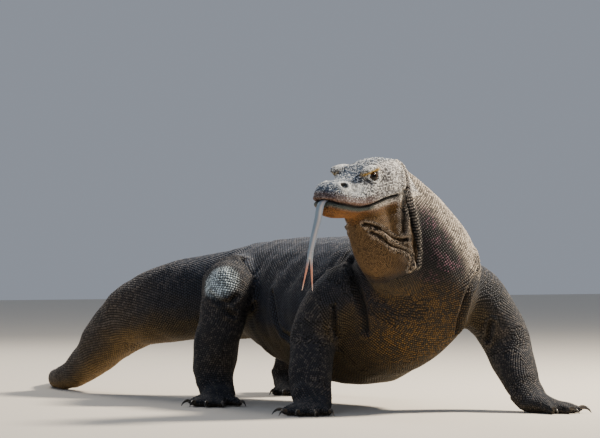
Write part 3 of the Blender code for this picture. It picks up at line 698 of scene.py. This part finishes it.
def make_skin():
    """The skin's mesh, the painted shade of its furrows, and how pale their rims are."""
    mesh = fused_flesh()
    refine(mesh)
    places = relax(mesh, coordinates(mesh), 6)
    set_coordinates(mesh, places)
    places = places - normals_of(mesh) * (SEAL + COAT)
    places[:, 2] = np.maximum(places[:, 2], SKIN_CLEAR)
    set_coordinates(mesh, places)
    places, dark, pale = fold_skin(surface_tree(mesh, places), places, normals_of(mesh))
    set_coordinates(mesh, places)
    places = sculpt_head(places, normals_of(mesh))
    places[:, 2] = np.maximum(places[:, 2], SKIN_CLEAR)
    set_coordinates(mesh, places)
    shade_smooth(mesh)
    mesh.update()
    return mesh, dark, pale


# ---------------- the lie of the scales
# One scale: its region, root and the skin's normal there, the way its row looks, its pitch
# along and between the rows, and its place on the region's unwrap.
Scale = namedtuple("Scale", "region place normal ahead pitch step u v")


def of_each(scales, what):
    return np.array([getattr(scale, what) for scale in scales])


def rolling_mean(values, half=45):
    """Mean of the values within this many places on both sides."""
    padded = np.pad(values, half, mode="edge")
    return np.convolve(padded, np.ones(2 * half + 1) / (2 * half + 1), mode="valid")


class Coat:
    """Scales, kept apart from each other."""

    def __init__(self, tree):
        self.tree = tree
        self.cells = {}
        self.scales = []

    def free(self, place, pitch):
        """Whether a scale of this pitch fits here; if it does, the place is taken."""
        cell = tuple(int(c // CELL) for c in place)
        for i, j, k in AROUND:
            for other, size in self.cells.get((cell[0] + i, cell[1] + j, cell[2] + k), ()):
                apart = CROWDING * 0.5 * (pitch + size)
                if ((other[0] - place[0]) ** 2 + (other[1] - place[1]) ** 2
                        + (other[2] - place[2]) ** 2) < apart * apart:
                    return False
        self.cells.setdefault(cell, []).append((place, pitch))
        return True

    def look_round(self, centre, ahead, up, reach):
        """Where rays from a ring's centre leave the hide, with its normals there."""
        side = up.cross(ahead).normalized()
        up = ahead.cross(side).normalized()
        hits = np.full((RAYS + 1, 3), np.nan)
        facing = np.zeros((RAYS + 1, 3))
        for i in range(RAYS + 1):
            angle = 2 * math.pi * i / RAYS - math.pi
            way = up * math.cos(angle) + side * math.sin(angle)
            place, normal, _, _ = self.tree.ray_cast(centre, way, reach)
            if place is not None and normal.dot(way) > GRAZING:
                hits[i] = place
                facing[i] = normal
        return hits, facing

    def ring(self, region, centre, ahead, up, reach, pitch, step, row, chart, share, keep=None):
        """Scales round one ring, spaced by a walk over the hide; even and odd rows alternate."""
        hits, facing = self.look_round(centre, ahead, up, reach)
        gaps = np.linalg.norm(np.diff(hits, axis=0), axis=1)
        good = np.isfinite(gaps) & (gaps < JUMP)
        walked = np.concatenate([[0], np.cumsum(np.where(good, gaps, 0))])
        walked -= walked[RAYS // 2]
        offset = 0.5 * (row % 2)
        first = math.ceil(walked[0] / pitch - offset)
        last = math.floor(walked[-1] / pitch - offset)
        if last < first:
            return
        targets = (np.arange(first, last + 1) + offset) * pitch
        spot = np.interp(targets, walked, np.arange(RAYS + 1))
        spot = spot[good[np.minimum(spot.astype(int), RAYS - 1)]]
        index = np.minimum(spot.astype(int), RAYS - 1)
        part = (spot - index)[:, None]
        places = hits[index] * (1 - part) + hits[index + 1] * part
        normals = facing[index] * (1 - part) + facing[index + 1] * part
        kept = keep(places) if keep and len(places) else np.ones(len(places), dtype=bool)
        u = chart[0] + share * (chart[2] - chart[0])
        for n in np.flatnonzero(kept):
            place = tuple(places[n])
            if self.free(place, min(pitch, step)):
                v = chart[1] + spot[n] / RAYS * (chart[3] - chart[1])
                self.scales.append(Scale(region, place, tuple(normals[n]), tuple(ahead),
                                         pitch, step, u, v))

    def tube(self, region, points, dorsal, pitch, chart, end_dorsal=None, keep=None, flow=1,
             apart=0.88):
        """Rings of scales along a path; pitch is a function of the share along it."""
        path = smooth_path(points, 60)
        strides = np.linalg.norm(np.diff(path[:, :3], axis=0), axis=1)
        lengths = np.concatenate([[0], np.cumsum(strides)])
        tangents = unit(np.gradient(path[:, :3], axis=0))
        tangents = unit(np.array([rolling_mean(column) for column in tangents.T]).T)
        turning = np.linalg.norm(np.gradient(tangents, axis=0), axis=1)
        bend = rolling_mean(turning / np.maximum(np.gradient(lengths), 1e-9))
        walked, row = 0.0, 0
        while walked < lengths[-1]:
            share = walked / lengths[-1]
            at = np.interp(walked, lengths, np.arange(len(path)))
            i = min(int(at), len(path) - 2)
            here = path[i] * (1 - (at - i)) + path[i + 1] * (at - i)
            size = pitch(share)
            step = size * apart
            hint = Vector(dorsal).lerp(Vector(end_dorsal or dorsal), share)
            self.ring(region, Vector(here[:3] + SHIFT), Vector(tangents[i]) * flow, hint, here[3],
                      size, step, row, chart, share, keep)
            walked += step / (1 + bend[i] * here[3] * 0.75)
            row += 1


def coat_lids(coat):
    """Rows of small scales along the edges of both lids."""
    for side in (1, -1):
        inward = Vector(way_from_head((0, -side, 0)))
        for away, size in LID_ROWS:
            half = EYE_OPENING[0] + away, EYE_OPENING[1] + away
            count = int(math.pi * (half[0] + half[1]) / size)
            for k in range(count):
                angle = 2 * math.pi * k / count
                x, z = half[0] * math.cos(angle), half[1] * math.sin(angle)
                z = OPENING_SHIFT[1] + z * (1 - OPENING_TAPER * (x / half[0]) ** 2)
                x += OPENING_SHIFT[0]
                start = Vector(from_head([(x, side * LID_RAY[0], z)])[0])
                place, normal, _, _ = coat.tree.ray_cast(start, inward, LID_RAY[1])
                if place is None or not coat.free(tuple(place), size * 0.9):
                    continue
                way = way_from_head((-math.sin(angle), 0, math.cos(angle)))
                coat.scales.append(Scale("head", tuple(place), tuple(normal), tuple(way),
                                         size, size, 0.5 + side * 0.2 + x * 4, 0.5 + z * 4))


def outside_eyes(places):
    x, y, z = one_side(in_head(places))
    clear = LID_ROWS[-1][0] + LID_ROWS[-1][1] * 0.6
    return (y < 0.03) | (off_eye(x, z, clear) > 1)


def coat_head(coat):
    """Small scales in rows round the lids, then round the head from the snout back."""
    coat_lids(coat)
    axis = [(*(from_head([(x, 0, z)])[0] - SHIFT), reach) for x, z, reach in HEAD_AXIS]
    coat.tube("head", axis, tuple(HEAD_TURN[:, 2]), lambda t: 0.0025 + 0.0011 * t, WHOLE,
              keep=outside_eyes, flow=-1)


def coat_foot(coat, leg, points):
    """The wrist or ankle, the palm and each toe."""
    ends = [claw_ends(name) for name in CLAWS if leg in name]
    palm = ends[0][2] - SHIFT
    wrist = np.array(points[-1][:3])
    middle = np.mean([end[0] for end in ends], axis=0) - SHIFT
    base = palm * 0.5 + middle * 0.5
    start = wrist * 0.6 + palm * 0.4
    coat.tube(leg, [(*wrist, 0.06), (*start, 0.06), (*base, 0.062)], UPWARD,
              lambda t: 0.0056, PALM_CHART, flow=-1)
    for k, (root, _, _) in enumerate(ends):
        root = root - SHIFT
        begin = base + (root - base) * 0.15
        begin[2] = root[2]
        low = 0.02 + 0.19 * k
        toe = [(*begin, 0.024), (*(root * 0.5 + begin * 0.5), 0.020),
               (*(root * 0.96 + begin * 0.04), 0.016)]
        coat.tube(leg, toe, UPWARD, lambda t: 0.0046, (0.82, low, 0.98, low + 0.17), flow=-1)


def spots(mesh):
    """Places all over the hide, with their normals: points, middles of faces and of long edges."""
    places, normals = coordinates(mesh), normals_of(mesh)
    ends = edge_ends(mesh)
    ends = ends[np.linalg.norm(places[ends[:, 0]] - places[ends[:, 1]], axis=1) > LONG_EDGE]
    return (np.vstack([places, read_rows(mesh.polygons, "center"), places[ends].mean(axis=1)]),
            np.vstack([normals, read_rows(mesh.polygons, "normal"),
                       unit(normals[ends].mean(axis=1))]))


def fill_bare(coat, places, normals):
    """Scales on spots no ring reached, sized and turned like their nearest neighbour."""
    finder = place_finder(of_each(coat.scales, "place"))
    x, y, z = one_side(in_head(places))
    on_eye = (y > EYE_SIDE) & (np.hypot(x, z) < 0.03) & (off_eye(x, z, 0.0014) < 1)
    dice = np.random.default_rng(3)
    for n in np.flatnonzero(~on_eye & (places[:, 2] > SOLE)):
        _, index, away = finder.find(places[n])
        like = coat.scales[index]
        pitch = min(like.pitch, like.step)
        size = min(2 * (away - 0.45 * pitch), pitch)
        smallest = SMALLEST_ON_TAIL if like.region == "tail" else SMALLEST_FILL
        if size >= smallest * pitch and coat.free(tuple(places[n]), size):
            coat.scales.append(Scale(like.region, tuple(places[n]), tuple(normals[n]), like.ahead,
                                     size, size, like.u + dice.uniform(-0.004, 0.004),
                                     like.v + dice.uniform(-0.004, 0.004)))


def lay_scales(tree, mesh):
    """All the scales; where two regions meet, the one laid first keeps its rows.

    Each pitch is a function of the share walked along its tube.
    """
    coat = Coat(tree)
    coat_head(coat)
    coat.tube("throat", RAISED_NECK, UPWARD, lambda t: 0.0035, WHOLE, end_dorsal=NAPE,
              keep=on_throat)
    coat.tube("neck", NECK, UPWARD, lambda t: 0.0056 - 0.0008 * t, WHOLE, end_dorsal=NAPE,
              keep=lambda places: ~on_throat(places), apart=1.22)
    coat.tube("trunk", SPINE[TRUNK_ROWS], UPWARD, lambda t: 0.0067, WHOLE)
    coat.tube("tail", SPINE[TAIL_ROWS], UPWARD, lambda t: 0.0044 + 0.0024 * min(1, t * 1.4), WHOLE)
    for leg, points in LIMBS.items():
        coat.tube(leg, points, LEG_FRONT, lambda t: 0.0064 - 0.0010 * t, LEG_CHART, flow=-1)
        coat_foot(coat, leg, points)
    fill_bare(coat, *spots(mesh))
    return coat.scales


# ---------------- markings
class Roots:
    """The scales' roots as arrays, in the model's, the skeleton's and the head's frames."""

    def __init__(self, scales):
        self.count = len(scales)
        self.points = of_each(scales, "place")
        self.up = unit(of_each(scales, "normal"))[:, 2]
        self.spread = np.random.default_rng(7).uniform(-1, 1, self.count)
        self.body = self.points - SHIFT
        self.height = self.body[:, 2]
        self.x, self.y, self.z = one_side(in_head(self.points))
        regions = of_each(scales, "region")
        self.head = regions == "head"
        self.throat = regions == "throat"
        self.neck = self.throat | (regions == "neck")
        self.limb = np.isin(regions, list(LIMBS))
        self.from_middle, self.past_rim = round_throat(self.points)
        self.neck_side = neck_side(self.body)


def breast_field(at):
    """The ochre field of the breast, fainter past the crease of the left arm."""
    crease = np.interp(at.height, *BREAST_CREASE)
    arm = ramp(at.body[:, 0] - crease, -0.002, 0.020) * (at.body[:, 1] < -0.58)
    away = np.linalg.norm((at.body - BREAST) / (1.0, 1, 1.05), axis=1)
    return (1 - 0.8 * arm) * np.clip(1.5 * bump(away, BREAST_SIZE), 0, 1)


def body_colours(at):
    """Broad fields: blue-grey back, lighter on upward faces as painted light from above, olive
    belly, ochre breast, brown tail with pale flecks on its upper half as painted highlights.
    """
    patches = noise_at(at.body, 0.035, 3)
    chest = breast_field(at)
    low = 1 - ramp(at.height, 0.14, 0.22)
    flecks = ramp(at.spread + 0.6 * noise_at(at.body, (0.005, 0.005, 0.018), 6), -0.8, 0.8)
    tail = ramp(at.body[:, 1], 0.10, 0.35)
    return tint(
        plain("charcoal", at.count),
        # Lighter slate on upward faces: painted light from above.
        ("slate", ramp(at.up, 0.25, 0.95) * 0.45),
        ("beige", ramp(patches * 0.25 + at.spread, 0.1, 1.1) * 0.13 * ramp(at.up, 0.0, 0.7)),
        ("olive", ramp(-at.up, -0.05, 0.6) * 0.8),
        ("umber", chest * (0.62 - 0.50 * low)),
        ("ochre", chest * flecks * (0.48 + 0.46 * low)),
        ("rust", tail * (0.35 + 0.45 * ramp(-at.up, -0.3, 0.5))),
        ("tan", tail * ramp(-at.up, 0.1, 0.8) * 0.6),
        # Pale flecks on the tail's upper half: painted highlights.
        ("beige", tail * ramp(at.spread, -0.2, 1.0) * 0.12 * ramp(at.up, -0.4, 0.1)))


def mark_neck(out, at):
    """Pale beads on the neck's back and sides, reaching less far down its right side as painted
    shade; a dark front, partly painted shade; the stain on its left side, darkened partly by
    painted shade.
    """
    # The pale beads stop higher on the right side of the neck: painted shade there.
    shaded_right_side = ramp(-at.neck_side, -0.02, 0.05)
    climb = (at.body - NECK_BASE) @ NECK_CLIMB
    high = ramp(climb - 0.07 * shaded_right_side - 0.05 * ramp(at.body[:, 1], -0.66, -0.56)
                + 0.02 * noise_at(at.body, 0.03, 11), 0.04, 0.13)
    buff = mix(plain("beige", at.count), INK["cream"], np.clip(0.4 + 0.5 * at.spread, 0, 1))
    buff = tint(buff, ("charcoal", ramp(-at.spread, 0.55, 0.9) * 0.6))
    beaded = at.neck * (1 - at.throat)
    below = 1 - ramp(at.height, 0.40, 0.47)
    front = (1 - ramp(at.from_middle, 66, 92)) * below * beaded
    out = mix(out, buff, at.neck * high * (1 - front) * 0.9)
    stain = bump(at.past_rim - 34, 16) * window(at.height, (0.27, 0.32), (0.43, 0.48)) * beaded
    stain *= ramp(noise_at(at.body, 0.022, 9), -0.5, 0.3) * ramp(at.neck_side, -0.02, 0.02)
    rim = at.throat * ramp(at.past_rim + 4 * at.spread, -18, 0) * (at.neck_side < 0)
    out = tint(
        out,
        # The dark front: partly the hide's own dark, partly painted shade.
        ("black_and_shade", front * ramp(at.height, 0.26, 0.33) * 0.9),
        # The stain's dark: partly its own colour, partly painted shade.
        ("black_and_shade", stain * 0.5),
        ("plum", stain * ramp(at.spread, -0.3, 0.4) * 0.85),
        ("throat", at.throat * 0.95),
        ("umber", at.throat * ramp(-at.spread, 0.2, 0.9) * 0.25),
        ("umber", at.throat * ramp(at.height, 0.42, 0.48) * 0.35),
        ("black_and_shade", rim * below * 0.85))
    return mix(out, buff, rim * (1 - below) * 0.85)


def crown_colours(at):
    """White and slate flecks, paler on the cheeks, partly their own colour and partly painted
    sunlight, bluer along the middle of the snout.
    """
    rear = ramp(-at.x, -0.060, 0.035) * ramp(at.y, 0.020, 0.040)
    fleck = ramp(at.spread + 0.5 * noise_at(at.points, 0.010, 5), -0.1, 0.7)
    bridge = (1 - ramp(at.y, 0.014, 0.030)) * ramp(at.x, -0.060, 0.030) * ramp(at.z, -0.030, -0.010)
    out = tint(
        plain("steel", at.count),
        # More white on the cheeks: partly their own paler colour, partly painted sunlight.
        ("chalk", fleck * (0.75 + 0.22 * rear)),
        ("cream", rear * 0.40),
        ("black_and_shade", ramp(-at.spread, 0.15, 0.6) * (0.92 - 0.5 * rear)),
        ("steel", bridge * ramp(0.9 - at.spread, 0.1, 0.9) * 0.62))
    # The cheeks lightened further: partly their own paler colour, partly painted sunlight.
    return out * (1 + 0.22 * rear)[:, None]


def mark_eye(out, at):
    """A gold brow with white over it, painted shade in the hollow ahead of the eye, and a white
    lower lid.
    """
    x, y, z = at.x, at.y, at.z
    near = at.head * ramp(y, 0.026, 0.034) * window(x, (-0.020, -0.010), (0.026, 0.036))
    under_brow = z - np.interp(x, (-0.012, 0.030), (0.0150, 0.0070))
    hollow = bump(np.hypot((x - 0.0215) / 1.2, z + 0.0035), 0.0065)
    lid = at.head * (off_eye(x, z, 0.004) < 1) * (z < 0.006)
    return tint(
        out,
        ("gold", near * bump(under_brow, 0.0044) * 0.95),
        ("chalk", near * bump(under_brow - 0.0090, 0.0040) * 0.8),
        # Painted shade in the hollow ahead of the eye.
        ("black_and_shade", at.head * hollow * ramp(y, 0.02, 0.03) * 0.75),
        ("chalk", lid * ramp(y, 0.03, 0.04) * 0.8))


def mark_lips(out, at, over):
    """A white patch of painted sunlight on the snout's side over a brown striped lip, then a
    grey-green lower lip over an orange chin.
    """
    x = at.x
    stripes = 0.5 + 0.5 * np.sin(over / 0.0046 * 2 * math.pi + 2.5 * noise_at(at.points, 0.03, 4))
    from_sunlit_patch = np.hypot((x - 0.062) / 2.2, at.z + 0.020) / 0.016
    snout = at.head * ramp(x, -0.03, 0.02)
    lower = at.head * (over < 0)
    return tint(
        out,
        # A white patch of painted sunlight on the side of the snout.
        ("chalk", at.head * (1 - ramp(from_sunlit_patch, 0.4, 1.3)) * 0.42),
        ("lip_edge", snout * (1 - ramp(over, 0.004, 0.011)) * 0.8),
        ("lip", snout * window(over, (0.004, 0.008), (0.012, 0.026)) * (0.60 + 0.38 * stripes)),
        ("teal", lower * (1 - ramp(-over, 0.008, 0.016)) * ramp(x, -0.030, 0.005)),
        ("orange", lower * ramp(-over, 0.008, 0.016) * (0.75 + 0.2 * (at.spread > 0))),
        ("throat", lower * ramp(-x, -0.06, 0.00) * ramp(-over, 0.006, 0.03)),
        ("cream", lower * ramp(-x, -0.02, 0.01) * (1 - ramp(-over, 0.010, 0.020))
         * (0.40 + 0.4 * (at.spread > -0.3))))


def mark_openings(out, at, over):
    """Painted shade in the crease behind the eye, the white rim of the nostrils with painted shade
    inside them, and painted shade in the gap between the lips.
    """
    crease = bump(at.x + 0.0245, 0.0048) * window(at.z, (-0.016, -0.006), (0.022, 0.030))
    hole = off_nostril(at.x, at.y, at.z)
    gap = bump(over + 0.0016, 0.0040) * ramp(at.x, -0.068, -0.055)
    return tint(
        out,
        # Painted shade in the crease behind the eye.
        ("black_and_shade", at.head * crease * (0.35 + 0.5 * (at.spread < 0.3))),
        ("chalk", at.head * bump(hole - 1.60, 0.42) * 0.92),
        # Painted shade inside the nostril and along the gap between the lips.
        ("inside", at.head * (1 - ramp(hole, 0.95, 1.20))),
        ("inside", at.head * gap * 0.96))


def mark_limbs(out, at):
    """Dark limbs with few pale flecks, and a pale patch on the right knee, partly pale hide and
    partly painted sunlight.
    """
    knee = np.linalg.norm((at.body - KNEE) / (1, 1, 0.95), axis=1)
    return tint(
        out,
        ("black_and_shade", at.limb * 0.6),
        ("beige", at.limb * ramp(at.spread, -0.1, 1.0) * 0.09),
        # The right knee's pale patch: partly pale hide, partly painted sunlight.
        ("lichen", at.limb * (1 - ramp(knee, *KNEE_EDGE)) * (0.6 + 0.4 * (at.spread > -0.3))))


def all_markings(scales, dark, pale):
    """One colour for each scale, with painted shade inside the furrows, and paler on their rims."""
    at = Roots(scales)
    out = mark_neck(body_colours(at), at)
    out = np.where(at.head[:, None], crown_colours(at), out)
    lips = np.array(MOUTH_LINE)[::-1]
    over = at.z - np.interp(at.x, lips[:, 0], lips[:, 1])
    out = mark_lips(mark_eye(out, at), at, over)
    out = mark_limbs(mark_openings(out, at, over), at)
    out = tint(out, ("cream", pale * 0.8))
    # Painted shade in the furrows, deeper on the neck and head.
    furrow = np.where(at.neck | at.head, 0.88, 0.40) * dark
    shade = (1 + 0.24 * at.spread + 0.10 * noise_at(at.points, 0.02, 8)) * (1 - furrow)
    return out * shade[:, None]


# ---------------- building the scales
def bead():
    """One scale: along, across and up for each corner, its faces, and how light each is: painted
    shade round its root and a painted highlight on its crown.
    """
    corners, painted_bead_light = [], []
    # Each ring's tone is painted light: the root ring in painted shade, the upper ring and the top
    # point lighter as a painted highlight.
    for radius, height, tone, lean in ((1.0, -0.35, 0.12, 0), (0.74, 0.70, 0.95, 0.22)):
        for k in range(6):
            angle = math.pi * k / 3
            corners.append((radius * math.cos(angle) * 1.06, radius * math.sin(angle),
                            height + lean * math.cos(angle)))
            painted_bead_light.append(tone)
    corners.append((0.10, 0.0, 1.0))
    painted_bead_light.append(1.08)
    quads = [(k, (k + 1) % 6, 6 + (k + 1) % 6, 6 + k) for k in range(6)]
    tris = [(6 + k, 6 + (k + 1) % 6, 12) for k in range(6)]
    return np.array(corners), np.array(quads), np.array(tris), np.array(painted_bead_light)


def bead_corners(name, scales, shape):
    """Corners of every scale, each turned to its row's way and lying on the skin."""
    count = len(scales)
    dice = np.random.default_rng(len(name))
    normal = unit(of_each(scales, "normal"))
    along = -of_each(scales, "ahead")
    along = unit(along - normal * np.sum(along * normal, axis=1)[:, None])
    across = np.cross(normal, along)
    turn = dice.uniform(-0.10, 0.10, count)[:, None]
    along, across = (along * np.cos(turn) + across * np.sin(turn),
                     across * np.cos(turn) - along * np.sin(turn))
    pitch = of_each(scales, "pitch") * dice.uniform(0.94, 1.05, count)
    apart = of_each(scales, "step") * dice.uniform(0.94, 1.05, count)
    tall, long, wide = FORMS.get(scales[0].region, FORMS["limb"])
    height = np.minimum(tall * dice.uniform(0.85, 1.12, count), STEEPEST * pitch)
    places = of_each(scales, "place")[:, None]
    for column, (size, way) in enumerate(((apart * long, along), (pitch * wide, across),
                                          (height, normal))):
        places = places + (shape[None, :, column] * size[:, None])[..., None] * way[:, None]
    places[..., 2] = np.maximum(places[..., 2], SCALE_CLEAR)
    return places


def coat_mesh(name, scales, colours):
    """Joined scales with their unwrap and markings."""
    shape, quads, tris, painted_bead_light = bead()
    places = bead_corners(name, scales, shape)
    first = (np.arange(len(scales)) * len(shape))[:, None, None]
    quad_loops = (first + quads[None]).reshape(-1, 4)
    tri_loops = (first + tris[None]).reshape(-1, 3)
    loops = np.concatenate([quad_loops.ravel(), tri_loops.ravel()])
    starts = np.concatenate([np.arange(len(quad_loops)) * 4,
                             quad_loops.size + np.arange(len(tri_loops)) * 3])
    mesh = bpy.data.meshes.new(name)
    mesh.vertices.add(len(scales) * len(shape))
    mesh.vertices.foreach_set("co", places.ravel())
    mesh.loops.add(len(loops))
    mesh.loops.foreach_set("vertex_index", loops)
    mesh.polygons.add(len(starts))
    mesh.polygons.foreach_set("loop_start", starts)
    shade_smooth(mesh)
    mesh.update(calc_edges=True)
    mesh.validate()
    chart = mesh.uv_layers.new(name="OFBake")
    root = np.stack([of_each(scales, "u"), of_each(scales, "v")], axis=1)
    patch = root[:, None] + shape[None, :, :2] * (PATCH / 2)
    chart.data.foreach_set("uv", patch.reshape(-1, 2)[loops].ravel())
    # The markings times each corner's painted light: shade at a scale's root, a highlight on its
    # crown.
    paint(mesh, (colours[:, None] * painted_bead_light[None, :, None]).reshape(-1, 3))
    return mesh


# ---------------- materials
def new_material(name, rough, specular):
    made = bpy.data.materials.new(name)
    made.use_nodes = True
    shader = made.node_tree.nodes["Principled BSDF"]
    shader.inputs["Roughness"].default_value = rough
    shader.inputs["Specular IOR Level"].default_value = specular
    return made, made.node_tree, shader


def marked_material(name, rough, grain_mm, grain, depth_mm, specular=0.5):
    """Coloured by the markings, with a fine grain of tone and relief."""
    made, tree, shader = new_material(name, rough, specular)
    marks = add_node(tree, "ShaderNodeAttribute", {"attribute_name": "markings"})
    place = add_node(tree, "ShaderNodeTexCoord")
    fine = add_node(tree, "ShaderNodeTexNoise", None, Vector=place.outputs["Object"],
                    Scale=1000 / grain_mm, Detail=2.0)
    tone = add_node(tree, "ShaderNodeMapRange", None, Value=fine.outputs["Fac"],
                    To_Min=1 - grain, To_Max=1 + grain)
    shaded = add_node(tree, "ShaderNodeVectorMath", {"operation": "SCALE"},
                      Vector=marks.outputs["Color"], Scale=tone.outputs["Result"])
    relief = add_node(tree, "ShaderNodeBump", None, Strength=RELIEF_STRENGTH,
                      Distance=depth_mm / 1000, Height=fine.outputs["Fac"])
    tree.links.new(shaded.outputs["Vector"], shader.inputs["Base Color"])
    tree.links.new(relief.outputs["Normal"], shader.inputs["Normal"])
    return made


# ---------------- skin and coat
def dress_body(hide, between):
    """The skin in place of all the flesh, and the coat in pieces by region."""
    mesh, dark, pale = make_skin()
    places = coordinates(mesh)
    tree = surface_tree(mesh, places)
    scales = lay_scales(tree, mesh)
    corners = [mesh.polygons[tree.find_nearest(Vector(scale.place))[2]].vertices[0]
               for scale in scales]
    colours = all_markings(scales, dark[corners], pale[corners])
    finder = place_finder(of_each(scales, "place"))
    nearest = np.array([finder.find(place)[1] for place in places])
    # The skin between the scales: a small share of their colour, and up to half darker in the
    # furrows, both painted shade.
    paint(mesh, (colours[nearest] * BETWEEN_SHADED_SHARE + BETWEEN_LEAST) * (1 - 0.5 * dark)[:, None])
    add_piece("skin", mesh, between, "hide", *FLESH)
    regions = of_each(scales, "region")
    for region in sorted(set(regions)):
        chosen = np.flatnonzero(regions == region)
        pieces = math.ceil(len(chosen) / PIECE_SCALES)
        for number, part in enumerate(np.array_split(chosen, pieces), start=1):
            name = f"scales_{region}" + (f"_{number}" if pieces > 1 else "")
            made = coat_mesh(name, [scales[i] for i in part], colours[part])
            add_piece(name, made, hide, "hide")


# ---------------- eyes, claws, tongue
def make_eye(name, material):
    """An eyeball with a round pupil, a brown iris and a dark rim."""
    side = 1 if name.endswith("left") else -1
    centre = box_middle(name)
    gaze = Vector(way_from_head((0.50, side, -0.05))).normalized()
    turn = gaze.to_track_quat("Z", "Y").to_matrix().to_4x4()
    bm = bmesh.new()
    bmesh.ops.create_uvsphere(bm, u_segments=48, v_segments=32, radius=EYE_RADIUS,
                              matrix=Matrix.Translation(centre) @ turn)
    mesh = drawn(bm, name)
    shade_smooth(mesh)
    ways = unit(coordinates(mesh) - np.array(centre))
    off = np.degrees(np.arccos(np.clip(ways @ np.array(gaze), -1, 1)))
    paint(mesh, tint(plain("eye_rim", len(off)),
                     ("iris_edge", 1 - ramp(off, *IRIS_EDGE)),
                     ("iris", bump(off - IRIS_RING[0], IRIS_RING[1]) * 0.45),
                     ("pupil", 1 - ramp(off, *PUPIL_EDGE))))
    add_piece(f"{name}_ball", mesh, material, "eye", name)


def make_claws(material):
    """All the claws, rounded, dark with paler roots."""
    whole = bmesh.new()
    for name in CLAWS:
        whole.from_mesh(NODES[name].data)
    bmesh.ops.remove_doubles(whole, verts=whole.verts, dist=WELD)
    mesh = shaped(drawn(whole, "claws"), "SUBSURF", levels=2, render_levels=2)
    shade_smooth(mesh)
    tips = np.array([claw_ends(name)[1] for name in CLAWS])
    gap = np.min(np.linalg.norm(coordinates(mesh)[:, None] - tips[None], axis=2), axis=1)
    paint(mesh, tint(plain("claw", len(gap)), ("claw_root", ramp(gap, *CLAW_PALE) * 0.7)))
    add_piece("claws", mesh, material, "claw_horn", *CLAWS)


def make_tongue(material):
    """A soft ribbon out of the gap between the lips, smoothed where it forks."""
    bm = bmesh.new()
    bm.from_mesh(NODES["tongue"].data)
    bmesh.ops.remove_doubles(bm, verts=bm.verts, dist=1e-6)
    mesh = shaped(drawn(bm, "tongue"), "REMESH", mode="VOXEL", voxel_size=TONGUE_VOXEL)
    places = relax(mesh, coordinates(mesh), 5)
    share = bump(-in_head(places)[:, 2] - FORK_DROP, 0.013)[:, None]
    places = places * (1 - share) + relax(mesh, places, 16) * share
    local = in_head(places)
    drop = -local[:, 2]
    local[:, 1] *= 1 + (TONGUE_WIDER - 1) * (1 - ramp(drop, 0.120, 0.160))
    local[:, 2] += TONGUE_ARCH * (1 - ramp(drop, 0.048, 0.078))
    local[:, 0] += 0.5 * TONGUE_ARCH * bump(drop - 0.054, 0.014)
    set_coordinates(mesh, from_head(local))
    shade_smooth(mesh)
    paint(mesh, tint(plain("tongue", len(drop)),
                     # A painted highlight along one side of the tongue.
                     ("tongue_highlight", bump(local[:, 1] - 0.0045, 0.0035) * 0.8),
                     ("fork", ramp(drop, 0.150, 0.180) * 0.9),
                     ("fork_tip", ramp(drop, 0.196, 0.216) * 0.8)))
    add_piece("tongue_flesh", mesh, material, "tongue", "tongue")


# ---------------- floor, light, camera
def dress_stage():
    """A plain pale floor, a soft sky and three soft lamps."""
    mesh = bpy.data.meshes.new("floor")
    size = FLOOR_HALF
    mesh.from_pydata([(-size, -size, 0), (size, -size, 0), (size, size, 0), (-size, size, 0)],
                     [], [(0, 1, 2, 3)])
    made, _, shader = new_material("pale_floor", 0.9, 0.2)
    shader.inputs["Base Color"].default_value = (*INK["floor"], 1)
    mesh.materials.append(made)
    add_object("floor", mesh)
    world = bpy.data.worlds.new("studio")
    world.use_nodes = True
    background = world.node_tree.nodes["Background"]
    background.inputs["Color"].default_value = (*INK["daylight"], 1)
    background.inputs["Strength"].default_value = WORLD_LIGHT
    bpy.context.scene.world = world
    middle = (CAD_BOX[0] + CAD_BOX[1]) / 2
    for name, away, size, power, tone in LAMPS:
        lamp = bpy.data.lights.new(name, "AREA")
        lamp.shape = "DISK"
        lamp.size = size
        lamp.energy = power
        lamp.color = colour(tone)
        light = add_object(name, lamp)
        light.location = middle + Vector(away)
        light.rotation_euler = (-Vector(away)).to_track_quat("-Z", "Y").to_euler()


def place_camera():
    data = bpy.data.cameras.new("camera")
    data.lens = CAMERA_LENS_MM
    data.sensor_width = SENSOR_MM
    data.clip_end = FAR_CLIP
    camera = add_object("camera", data)
    camera.location = CAMERA_IN_SKELETON + Vector(SHIFT)
    camera.rotation_euler = CAMERA_WAY.to_track_quat("-Z", "Y").to_euler()
    bpy.context.scene.camera = camera


# ---------------- the whole model
def main():
    # Material: name, roughness, grain in mm, its contrast, its relief in mm, shine.
    hide = marked_material("scaly_hide", 0.62, 0.9, 0.10, 0.15, 0.35)        # dry keratin
    between = marked_material("skin_between_scales", 0.75, 0.7, 0.2, 0.3, 0.2)   # bare skin
    eye = marked_material("wet_eye", 0.16, 2.0, 0.05, 0.0, 0.22)             # moist cornea
    horn = marked_material("claw_horn", 0.32, 3.0, 0.15, 0.1)                # polished keratin
    moist = marked_material("tongue_flesh", 0.30, 1.2, 0.08, 0.1)            # moist tissue
    dress_body(hide, between)
    make_eye("eye_left", eye)
    make_eye("eye_right", eye)
    make_claws(horn)
    make_tongue(moist)
    dress_stage()
    place_camera()


main()
